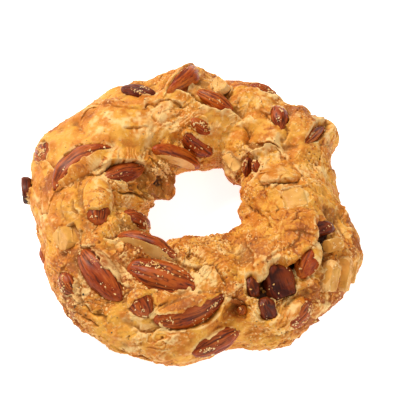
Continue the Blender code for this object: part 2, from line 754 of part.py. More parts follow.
def new_object(
    name: str,
    body: bmesh.types.BMesh,
    material: bpy.types.Material,
    parent: bpy.types.Object,
    placing: Matrix,
) -> bpy.types.Object:
    """Turn a mesh in millimetres into a named object in metres.

    Args:
        name: the object's name.
        body: its mesh, which is used up.
        material: its own material.
        parent: the empty that carries the ring.
        placing: turn and place under the parent.
    """
    bmesh.ops.scale(body, vec=(MM, MM, MM), verts=body.verts[:])
    mesh = bpy.data.meshes.new(name)
    body.to_mesh(mesh)
    body.free()
    mesh.materials.append(material)
    for face in mesh.polygons:
        face.use_smooth = True
    made = bpy.data.objects.new(name, mesh)
    bpy.context.scene.collection.objects.link(made)
    made.parent = parent
    made.matrix_local = placing
    return made


def new_material(name: str, colour: tuple[float, float, float], roughness: float) -> bpy.types.Material:
    """A plain material of one colour."""
    material = bpy.data.materials.new(name)
    material.use_nodes = True
    shader = material.node_tree.nodes["Principled BSDF"]
    shader.inputs["Base Color"].default_value = (*colour, 1.0)
    shader.inputs["Roughness"].default_value = roughness
    material.diffuse_color = (*colour, 1.0)
    return material


def dough_sheet() -> bmesh.types.BMesh:
    """The dough as a closed ring, before it is thinned and the almonds are set in."""
    body = bmesh.new()
    bmesh.ops.create_grid(body, x_segments=STEPS_AROUND, y_segments=STEPS_OVER, size=0.5)
    flat = np.array([v.co[:2] for v in body.verts])
    flat = (flat - flat.min(0)) / (flat.max(0) - flat.min(0))
    skin = dough_surface(360.0 * flat[:, 0], 360.0 * flat[:, 1])
    for vert, spot in zip(body.verts, skin):
        vert.co = Vector(spot)
    bmesh.ops.remove_doubles(body, verts=body.verts[:], dist=0.01)
    bmesh.ops.recalc_face_normals(body, faces=body.faces[:])
    return body


def settle(target: bpy.types.Object) -> None:
    """Fix an object's modifiers into its mesh."""
    graph = bpy.context.evaluated_depsgraph_get()
    shaped = bpy.data.meshes.new_from_object(target.evaluated_get(graph), depsgraph=graph)
    target.modifiers.clear()
    spare = target.data
    target.data = shaped
    bpy.data.meshes.remove(spare)


def keep_largest_piece(target: bpy.types.Object) -> None:
    """Drop every loose crumb of mesh but the main body, and any stray triangle that hangs off it."""
    body = bmesh.new()
    body.from_mesh(target.data)
    bmesh.ops.triangulate(body, faces=body.faces[:])
    unseen = set(body.verts)
    pieces = []
    while unseen:
        wave = [unseen.pop()]
        piece = list(wave)
        while wave:
            fresh = []
            for vert in wave:
                for edge in vert.link_edges:
                    other = edge.other_vert(vert)
                    if other in unseen:
                        unseen.remove(other)
                        fresh.append(other)
            piece.extend(fresh)
            wave = fresh
        pieces.append(piece)
    pieces.sort(key=len, reverse=True)
    for piece in pieces[1:]:
        bmesh.ops.delete(body, geom=piece, context="VERTS")
    fins = [face for face in body.faces if sum(edge.is_boundary for edge in face.edges) > 1]
    bmesh.ops.delete(body, geom=fins, context="FACES")
    bmesh.ops.recalc_face_normals(body, faces=body.faces[:])
    body.to_mesh(target.data)
    body.free()


def build_tarallo() -> None:
    """Make the dough and every almond, all carried by one empty."""
    carrier = bpy.data.objects.new("tarallo", None)
    carrier.location = (-MIDDLE_OF_OUTLINE[0] * MM, -MIDDLE_OF_OUTLINE[1] * MM, 0.0)
    bpy.context.scene.collection.objects.link(carrier)

    dough_finish = new_material("baked_lard_dough", DOUGH_COLOUR, 0.7)
    dough = new_object("dough", dough_sheet(), dough_finish, carrier, Matrix.Identity(4))
    thin = dough.modifiers.new("thin", "DECIMATE")
    thin.ratio = DOUGH_TRIANGLES / (2.0 * STEPS_AROUND * STEPS_OVER)
    settle(dough)
    for vert in dough.data.vertices:
        if vert.co.z < SEAT_TOLERANCE * MM:
            vert.co.z = 0.0

    pockets = bpy.data.collections.new("pockets")
    bpy.context.scene.collection.children.link(pockets)
    for almond in ALMONDS:
        finish = new_material(almond.name + "_finish", almond.tone.value, 0.55)
        whole = AlmondBody(almond)
        new_object(almond.name, whole.mesh(), finish, carrier, whole.placing())
        hollow = AlmondBody(almond, ALMOND_GAP)
        pocket = new_object(almond.name + "_pocket", hollow.mesh(), finish, carrier, hollow.placing())
        bpy.context.scene.collection.objects.unlink(pocket)
        pockets.objects.link(pocket)

    carve = dough.modifiers.new("carve", "BOOLEAN")
    carve.operation = "DIFFERENCE"
    carve.solver = "EXACT"
    carve.operand_type = "COLLECTION"
    carve.collection = pockets
    settle(dough)
    for pocket in list(pockets.objects):
        bpy.data.objects.remove(pocket)
    bpy.data.collections.remove(pockets)
    keep_largest_piece(dough)


for leftover in list(bpy.data.objects):
    bpy.data.objects.remove(leftover)
build_tarallo()
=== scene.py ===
"""The looks of a baked tarallo: a ring of two twisted strands of lard dough, full of almonds.

Every place on the ring is named by two angles in degrees: `around` the hole, counter-clockwise
from +X as seen from above, and `over` the strand, 0 on the outer side, 90 on top, 180 in the
hole. Lengths are in millimetres and become metres when a mesh is made.
"""

import logging
import math
from dataclasses import dataclass
from enum import Enum
from typing import Any

import bmesh
import bpy
import numpy as np
from mathutils import Matrix, Vector


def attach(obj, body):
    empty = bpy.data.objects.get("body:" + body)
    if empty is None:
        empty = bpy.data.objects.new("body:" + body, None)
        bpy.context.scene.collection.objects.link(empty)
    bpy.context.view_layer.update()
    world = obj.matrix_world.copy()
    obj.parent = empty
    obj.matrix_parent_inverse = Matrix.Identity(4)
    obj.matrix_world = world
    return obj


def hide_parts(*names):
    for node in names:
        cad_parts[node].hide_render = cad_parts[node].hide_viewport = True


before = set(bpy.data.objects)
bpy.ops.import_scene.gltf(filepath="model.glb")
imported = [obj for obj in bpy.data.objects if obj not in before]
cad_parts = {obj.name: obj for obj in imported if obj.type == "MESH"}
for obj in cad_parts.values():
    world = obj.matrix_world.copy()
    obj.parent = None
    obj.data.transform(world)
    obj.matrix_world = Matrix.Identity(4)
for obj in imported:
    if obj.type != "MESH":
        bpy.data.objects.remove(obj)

MM = 0.001
LOG = logging.getLogger("tarallo")
Place = tuple[float, float]
Path = tuple[Place, ...]

# How far the middle of the strand stands over the baking sheet, as a share of its half height,
# and the skin of dough at the bottom that has settled flat.
SEAT_SHARE = 0.92
SETTLED = 0.7

# From the point that the angles are taken about to the middle of the ring's outline.
MIDDLE_OF_OUTLINE = np.array([0.25, -1.8, 0.0])

# Thickness of the dough drawn over an almond, and how far it stays under a bare face.
COVER = 0.8
TUCK = 1.0

# The fine crust: steps around, steps over its seen part, and steps over its underside.
STEPS_AROUND = 1120
STEPS_SEEN = 345
STEPS_UNDER = 42
SEEN_FROM, SEEN_TO = -28.0, 212.0
SECTORS = ("right", "back", "left", "front")

# Degrees between two neighbours where a direction on the ring is measured, and about how many
# degrees around and over a millimetre of dough takes up.
SMALL_TURN = 0.5
DEGREES_AROUND, DEGREES_OVER = 1.7, 3.5

# Every random pattern has a draw of its own, the whole number in the call that makes it.


@dataclass(frozen=True)
class Station:
    """The strand's size at one place around the ring, and how far out its middle lies."""

    ring_radius: float
    half_width: float
    half_height: float


# The strand at every 15 degrees around the ring, from 0 on.
STATIONS = tuple(
    Station(*sizes)
    for sizes in (
        (32.6, 16.1, 14.5), (33.2, 16.2, 14.0), (36.8, 17.3, 14.5), (33.9, 15.9, 14.5),
        (37.1, 15.9, 14.0), (34.1, 15.9, 14.0), (34.8, 17.9, 14.5), (33.3, 17.7, 14.0),
        (32.3, 20.0, 14.0), (32.4, 21.2, 14.5), (33.2, 21.3, 14.5), (33.9, 20.0, 14.5),
        (31.9, 19.0, 14.5), (34.4, 14.8, 14.5), (32.4, 17.5, 14.5), (35.6, 18.4, 14.5),
        (36.4, 18.4, 14.5), (35.4, 20.1, 15.0), (36.2, 20.8, 15.0), (33.6, 18.0, 15.0),
        (37.9, 21.0, 15.0), (37.8, 18.7, 15.0), (38.5, 19.1, 15.0), (36.2, 18.7, 14.5),
    )
)


class Form(Enum):
    """What a stroke does to the dough along its path."""

    RIDGE = "ridge"
    GROOVE = "groove"
    LEDGE = "ledge"


@dataclass(frozen=True)
class Stroke:
    """A ridge, a groove or a ledge drawn along a path of places.

    A ledge stands up on the left of its path, seen from outside and looking along it, leans
    out over the right side by `lean`, and has a groove of `dip` along its foot.
    """

    form: Form
    path: Path
    height: float
    width: float
    dip: float = 0.0
    lean: float = 0.0
    pale: float = 0.0


@dataclass(frozen=True)
class Mound:
    """A lump (or, with a negative height, a hollow) about one place."""

    centre: Place
    height: float
    along: float
    across: float
    turn: float = 0.0


def ridge(path: Path, height: float, width: float, pale: float = 0.0) -> Stroke:
    """A raised line of dough, paler by a share of `pale`."""
    return Stroke(Form.RIDGE, path, height, width, pale=pale)


def groove(path: Path, depth: float, width: float) -> Stroke:
    """A sunk line."""
    return Stroke(Form.GROOVE, path, depth, width)


def ledge(
    path: Path, height: float, width: float, dip: float, lean: float = 0.0, pale: float = 0.0
) -> Stroke:
    """A torn edge or shelf; what its sizes mean is said at Stroke."""
    return Stroke(Form.LEDGE, path, height, width, dip, lean, pale)


# The larger forms of the dough, each where the photograph shows it.
STROKES = (
    # The two long valleys between the twisted strands.
    groove(((168, -30), (150, 5), (128, 40), (105, 72)), 1.6, 5.0),
    groove(((56, 116), (34, 139), (10, 168), (345, 205)), 1.4, 4.5),
    groove(((352, 22), (344, 45), (334, 66)), 1.4, 4.5),
    groove(((262, 128), (240, 150), (215, 182), (190, 215)), 1.4, 4.5),
    # The near strand lies over the far one at the lower right, above a deep crevice.
    ledge(
        ((298, 85), (304, 81), (310, 81), (315, 76), (320, 74), (329, 74), (336, 76), (342, 84)), 3.0,
        9.0, 4.4, 2.2
    ),
    ridge(((321, 42), (316, 45), (311, 50), (306, 46), (302, 38), (296, 38)), 1.6, 3.4),
    # The ridge of the upper strand and the valley behind it.
    ledge(
        ((56, 113), (64, 108), (73, 107), (79, 105), (86, 101), (91, 92), (105, 74)), 2.0, 7.0, 2.4,
        0.6
    ),
    groove(((76, 46), (72, 70), (66, 91), (61, 106), (54, 116)), 1.8, 2.8),
    ledge(((28, 109), (31, 119), (35, 130), (43, 128), (50, 121), (56, 112)), 1.2, 4.0, 1.4, 0.3),
    ridge(((55, 124), (46, 133), (36, 135), (32, 128), (28, 110)), 0.9, 2.4),
    groove(((26, 102), (18, 95), (14, 88), (12, 78)), 1.0, 2.2),
    # Folds and shelves on the inner left side.
    ledge(((172, 105), (164, 113), (151, 129), (147, 137)), 2.2, 6.0, 3.2, 1.0),
    ledge(((148, 150), (166, 136), (178, 112)), 1.0, 4.0, 0.6, 0.2),
    groove(((152, 99), (149, 111), (138, 121), (114, 141)), 0.9, 2.2),
    ledge(((188, 116), (186, 136), (180, 160)), 0.9, 5.0, 0.8, 0.2),
    # Soft valley and fold lines of the smooth upper left strand.
    groove(((144, 49), (149, 67), (152, 86)), 0.9, 3.0),
    ledge(((98, 96), (110, 87), (115, 88), (112, 112)), 0.8, 5.0, 0.7, 0.1),
    # The flat flake and the creases on the right strand.
    ledge(((2, 128), (358, 117), (359, 101), (358, 90), (1, 84)), 1.1, 5.0, 0.9, 0.5),
    groove(((351, 150), (340, 147), (334, 131), (331, 119)), 1.2, 2.6),
    groove(((24, 43), (22, 66)), 0.9, 2.2),
    groove(((45, 51), (38, 69)), 1.2, 2.2),
    # The lower side: the lip over the curved almond, the layered folds at the lower left and
    # the rim of the small crater.
    ridge(((272, 42), (278, 45), (282, 51), (285, 58)), 0.9, 2.0),
    ledge(((256, 130), (263, 110), (270, 101), (278, 98)), 1.2, 5.0, 0.8, 0.3),
    ridge(((248, 50), (252, 46), (257, 47)), 0.7, 1.8),
    ledge(((243, 26), (240, 29), (233, 30), (227, 35)), 1.1, 4.0, 1.0, 0.4),
    ledge(((240, 18), (231, 20), (226, 26)), 1.0, 4.0, 0.8, 0.3),
    ridge(
        ((287, 60), (290, 61), (293, 56), (294, 46), (292, 38), (287, 33), (283, 37), (281, 48), (284,
        58), (287, 60)), 1.0, 1.7
    ),
    groove(((320, 46), (320, 27), (323, 12)), 1.1, 2.0),
    groove(((315, 38), (313, 24)), 0.8, 1.8),
    # Stretch lines down the outer left side and round the back.
    groove(((196, 70), (192, 45), (190, 20), (189, 0)), 0.6, 2.0),
    groove(((205, 44), (202, 22), (200, 0)), 0.6, 2.0),
    groove(((120, 8), (98, 15), (80, 8), (60, 2)), 1.0, 3.0),
    groove(((18, 10), (8, -5), (352, -10)), 0.9, 3.0),
)

MOUNDS = tuple(
    Mound(*row)
    for row in (
        # Lumps on the outline.
        ((42, 34), 2.0, 4.5, 5.5), ((29, 14), 2.6, 5.0, 8.0), ((30, 66), 1.6, 5.0, 4.5),
        ((89, 48), 1.6, 4.0, 5.0), ((339, 8), 2.0, 5.0, 6.0), ((318, 2), 1.6, 6.0, 6.0),
        ((160, 22), 1.4, 6.0, 7.0), ((246, 6), 1.4, 7.0, 5.0), ((262, 2), 1.2, 6.0, 5.0),
        ((208, 8), 0.8, 5.0, 7.0),
        # Lumps along the hole.
        ((134, 186), 1.8, 4.0, 6.0), ((350, 190), 1.2, 3.5, 6.0), ((328, 176), 1.2, 3.0, 5.0),
        ((270, 150), 1.2, 4.0, 5.0),
        # Hollows.
        ((44, 114), -2.0, 5.5, 5.5), ((24, 92), -1.8, 4.0, 3.2), ((170, 145), -2.2, 4.0, 5.0),
        ((347, 57), -2.4, 3.8, 3.8), ((288, 47), -2.4, 3.2, 3.4), ((301, 109), -1.0, 4.0, 3.5),
        ((306, 61), -4.4, 8.5, 6.5, -20.0), ((328, 60), -2.8, 7.0, 4.4, -25.0),
        ((22, -4), -2.0, 4.5, 8.0), ((96, 103), -0.8, 4.0, 4.5),
        # The dough falls away in front of the almond that shows its split face.
        ((243, 99), -2.6, 8.5, 3.4),
        # Broad swellings of the strands.
        ((344, 100), 1.0, 9.0, 8.0), ((134, 88), 0.9, 12.0, 9.0), ((60, 72), 0.9, 7.0, 7.0),
        ((283, 82), 0.8, 7.0, 7.0), ((197, 96), 0.9, 8.0, 4.5, 10.0),
    )
)

# Uneven swelling of the dough: size of the lumps, their height and the draw they come from.
SWELLS = ((13.0, 0.9, 11), (6.0, 0.6, 12), (3.2, 0.35, 13))

# Clouds in the bake of the crust: about how wide they are and the draw they come from.
CLOUDS = ((9.0, 71), (3.0, 72), (6.0, 73), (1.6, 74), (2.6, 75), (0.9, 76))

# Torn sheets of dough, broad and small: their size, their height and their draw.
TORN_SHEETS = ((5.2, 0.42, 65), (2.3, 0.20, 66))


@dataclass(frozen=True)
class Relief:
    """How high the crust's finer forms stand, in millimetres, from broad to fine."""

    streaks: float = 0.26
    fine_streaks: float = 0.12
    flaked_layers: float = 0.40
    folds: float = 0.34
    crags: float = 0.14
    lumps: float = 0.24
    grains: float = 0.26
    pits: float = 0.6


@dataclass(frozen=True)
class Cut:
    """A flat break through an almond, `distance` from its middle along `facing`.

    The direction is given along the almond's length, side and outward axes.
    """

    facing: tuple[float, float, float]
    distance: float


@dataclass(frozen=True)
class Cover:
    """Dough drawn over one side of an almond.

    `toward` is the side that is covered, in degrees from the almond's length axis to its side
    axis, and `beyond` is how far from the middle the cover starts, as a share of the half size.
    """

    toward: float
    beyond: float


class Tone(Enum):
    """How dark an almond's skin was roasted, or that its skin is off."""

    TOASTED = "toasted"
    DARK = "dark"
    ORANGE = "orange"
    BLANCHED = "blanched"


@dataclass(frozen=True)
class Almond:
    """One almond or broken piece of one, from its blunt end to its pointed end.

    Its CAD node is called by its name with `almond_` before it.
    `rise` is how far its middle stands out from the line between its ends, `roll` its turn
    about its own length, `pinch` how sharply its end tapers, and `bend` how far its middle bows
    out to its own side.
    """

    name: str
    start: Place
    end: Place
    width: float
    thickness: float
    rise: float
    roll: float = 0.0
    cuts: tuple[Cut, ...] = ()
    covers: tuple[Cover, ...] = ()
    tone: Tone = Tone.TOASTED
    pinch: float = 0.35
    bend: float = 0.0

    @property
    def node(self) -> str:
        """The name of its CAD node."""
        return "almond_" + self.name

    @property
    def seed(self) -> int:
        """A number that makes its grain its own."""
        return sum(ord(letter) for letter in self.node)


# The flat breaks of a broken chunk of almond.
CHUNK = (
    Cut((0.0, 0.75, 0.66), 1.6),
    Cut((0.1, -0.7, 0.7), 1.8),
    Cut((0.95, 0.0, 0.3), 3.4),
    Cut((-1.0, 0.1, 0.1), 3.6),
)


def slab(top: float, left: float, right: float, near: float, far: float) -> tuple[Cut, ...]:
    """A slab or slice of almond, cut flat on five sides.

    Args:
        top: from the middle to the outward face.
        left: to the face on its own side.
        right: to the opposite face.
        near: to the break at its blunt end.
        far: to the break at its pointed end.

    Returns:
        The five breaks.
    """
    return (
        Cut((0.05, 0.0, 1.0), top),
        Cut((0.1, 1.0, 0.1), left),
        Cut((-0.1, -1.0, 0.1), right),
        Cut((-1.0, 0.15, 0.1), near),
        Cut((1.0, 0.1, 0.1), far),
    )


ALMONDS = (
    Almond("crescent", (182, 54), (151, 105), 11.4, 8.0, 0.2, -8.0, (), (Cover(-90, 0.1),), bend=1.8 ),
    Almond("inner_left", (177, 106), (146, 139), 6.6, 6.2, -1.2, 10.0, pinch=0.2),
    Almond("left_top", (157.5, 18.5), (167, 47), 7.4, 5.5, -0.3),
    Almond(
        "left_edge", (167, -2), (180, 2), 7.0, 5.5, 1.6, 0.0, (Cut((0.0, 0.0, 1.0), 1.5), Cut((1.0,
        0.0, 0.0), 4.0), Cut((-1.0, 0.0, 0.0), 4.0)), tone=Tone.DARK
    ),
    Almond("coated", (178, 98), (211, 90), 9.4, 7.0, -0.1, 0.0, (), (Cover(180, -0.52),), pinch=-0.05 ),
    Almond("chunk_left", (199.5, 55), (215.5, 57), 9.8, 7.4, 0.3, 12.0, CHUNK, tone=Tone.BLANCHED),
    Almond(
        "large_left", (216, 64), (244, 57), 10.2, 7.4, -0.6, 0.0, (), (Cover(90, 0.55),), pinch=0.15
    ),
    Almond("lower_left", (217, 31), (227, 33), 6.4, 5.5, -0.3),
    Almond("large_middle", (239, 91), (274, 81), 10.8, 6.8, -0.8, pinch=0.15),
    Almond(
        "split", (222, 107), (264, 110), 8.4, 9.4, -0.5, 0.0, (Cut((0.0, -1.0, 0.0), 1.4),), pinch=0.2
    ),
    Almond("hole_edge", (209, 122), (218, 168), 7.2, 6.4, -0.2, pinch=0.1),
    Almond("tip_down", (247, 69), (256, 49), 7.8, 6.8, -0.4, 0.0, (), (Cover(180, 0.15),), pinch=0.1 ),
    Almond(
        "long_crescent", (258, 47), (286, 63), 9.2, 7.4, -0.4, -14.0, (), (Cover(90, 0.35),), bend=-1.5
    ),
    Almond("bottom", (271.5, 16), (288, 22), 7.8, 6.0, -0.3, pinch=0.15),
    Almond("in_crater", (291, 52), (288, 38), 3.4, 3.6, -1.5, tone=Tone.ORANGE),
    Almond(
        "crevice_upper", (299, 87), (296, 64), 5.4, 5.8, -3.0, 0.0, slab(2.2, 2.1, 2.2, 9.0, 3.3),
        tone=Tone.DARK, pinch=0.0
    ),
    Almond(
        "crevice_lower", (299, 62), (297.5, 38), 7.0, 6.2, -2.3, 0.0, slab(2.3, 2.8, 2.7, 4.0, 3.6),
        tone=Tone.DARK, pinch=0.0
    ),
    Almond(
        "crevice_block", (312, 86), (306, 48), 11.2, 8.4, -2.8, 0.0, slab(3.0, 4.8, 4.8, 9.0, 5.2), (),
        Tone.DARK, 0.0
    ),
    Almond(
        "right_round", (330.5, 69), (315, 55.5), 7.6, 7.8, -1.0, 0.0, (), (Cover(160, 0.1),),
        Tone.ORANGE, pinch=0.1
    ),
    Almond(
        "right_dark", (333.5, 78), (343.5, 51), 5.6, 5.6, -1.8, 0.0, slab(2.1, 2.4, 2.4, 9.0, 4.2),
        tone=Tone.DARK, pinch=0.0
    ),
    Almond(
        "slice_inner", (328, 48.5), (320, 24), 5.4, 8.0, 1.0, 8.0, slab(2.4, 2.2, 2.2, 4.8, 5.0),
        tone=Tone.BLANCHED, pinch=-0.3
    ),
    Almond(
        "slice_outer", (333, 37), (325, 8), 4.8, 8.0, 0.9, 6.0, slab(2.4, 1.6, 1.6, 5.2, 5.4),
        tone=Tone.BLANCHED, pinch=-0.3
    ),
    Almond(
        "slice_edge", (338.4, 20), (331, -9), 4.0, 7.0, 0.5, 0.0, slab(1.8, 1.1, 1.1, 4.4, 4.6),
        tone=Tone.BLANCHED, pinch=-0.3
    ),
    Almond(
        "wedge_right", (337, 43), (330, 60), 4.8, 5.6, 0.7, 0.0, slab(1.8, 1.8, 1.8, 2.6, 2.8),
        tone=Tone.BLANCHED, pinch=-0.2
    ),
    Almond("lower_right", (302, 27), (314, 29), 7.6, 5.5, -0.3, 0.0, (), (Cover(90, 0.55),)),
    Almond(
        "top_large", (102, 87), (88, 32), 8.0, 8.0, 1.4, 0.0, (), (Cover(90, 0.0),), Tone.ORANGE, 0.3,
        -2.0
    ),
    Almond("top_left", (119, 40), (107, 77), 5.6, 5.0, -0.4, tone=Tone.DARK),
    Almond("top_band", (86, 83), (64, 104), 5.4, 5.5, -1.0, tone=Tone.ORANGE, pinch=0.1),
    Almond("top_right", (64, 52), (52, 40), 6.0, 5.0, -0.5),
    Almond("chunk_top", (78, 56), (71, 76), 7.2, 6.5, 0.4, 0.0, CHUNK, tone=Tone.BLANCHED),
    Almond("upright", (47, 57), (34, 91), 6.4, 6.4, -0.5),
    Almond("thin_right", (32, 22), (22, 73), 4.4, 5.0, -0.3, tone=Tone.ORANGE),
    Almond("inner_sliver", (89, 121), (73, 135), 4.8, 5.0, 0.1, tone=Tone.ORANGE, pinch=0.25 ),
    Almond(
        "inner_whole", (97, 133), (68, 171), 8.0, 6.2, -0.5, 0.0, (Cut((0.0, 1.0, 0.2), 2.7),),
        pinch=0.2
    ),
    Almond(
        "split_inner", (129, 127), (80, 192), 6.4, 6.8, 1.2, -50.0, (Cut((0.0, 0.0, 1.0), 1.9),),
        tone=Tone.ORANGE, bend=1.0
    ),
    Almond("chunk_inner", (56, 157), (32, 170), 7.4, 6.4, 0.2, 0.0, CHUNK, tone=Tone.BLANCHED),
    Almond("chip_a", (35, 140), (24, 160), 2.8, 4.0, -0.6),
    Almond("chip_b", (29, 138), (16, 132), 3.2, 4.0, -0.8),
    Almond(
        "slab_right", (356.4, 97), (340, 91), 10.0, 6.0, -0.7, 0.0, slab(1.7, 3.9, 3.5, 4.0, 3.8),
        tone=Tone.BLANCHED, pinch=-0.2
    ),
    Almond("back_left", (128, -10), (114, -2), 7.6, 6.2, -0.3),
    Almond("back", (86, -8), (70, -18), 7.4, 6.2, -0.4),
    Almond("outer_right", (11, -34), (-3, -26), 6.8, 5.8, -0.3),
    Almond("outer_left", (206, -22), (194, -14), 6.6, 5.6, -0.4),
)


@dataclass(frozen=True)
class Patch:
    """A place where the crust baked darker, stayed floury, gets brown painted shade as in a crease,
    or gets the dark painted shadow of a deep hollow; these four shares, in this order, are each
    added to what is there.
    """

    centre: Place
    radius: float
    toast: float = 0.0
    pale: float = 0.0
    crease_shade: float = 0.0
    deep: float = 0.0


@dataclass(frozen=True)
class Roughness:
    """A place where the crust is craggier (above 1) or smoother (below 1) than elsewhere."""

    centre: Place
    radius: float
    amount: float


# How much crumb sticks to an almond, where it isn't the usual amount.
USUAL_CRUMB = 9
CRUMBED = {
    "large_middle": 46, "left_top": 40, "coated": 16, "lower_left": 14, "bottom": 16, "top_left": 12,
    "split": 10, "lower_right": 20, "long_crescent": 16, "crevice_block": 3, "crevice_upper": 2,
    "crevice_lower": 2, "right_dark": 2, "right_round": 3, "inner_left": 4, "in_crater": 1,
    "inner_whole": 5, "hole_edge": 14, "inner_sliver": 16, "split_inner": 2, "left_edge": 3,
}

# How pale the flesh of a broken almond stayed in the oven, where it isn't the usual golden.
# The creamy set is partly painted light: paler flesh for broken faces that lie in shade.
CREAMY_AND_LIT = frozenset({"chunk_inner", "split", "split_inner"})
BROWNED = frozenset({"chunk_left", "slice_inner", "slice_outer", "wedge_right"})

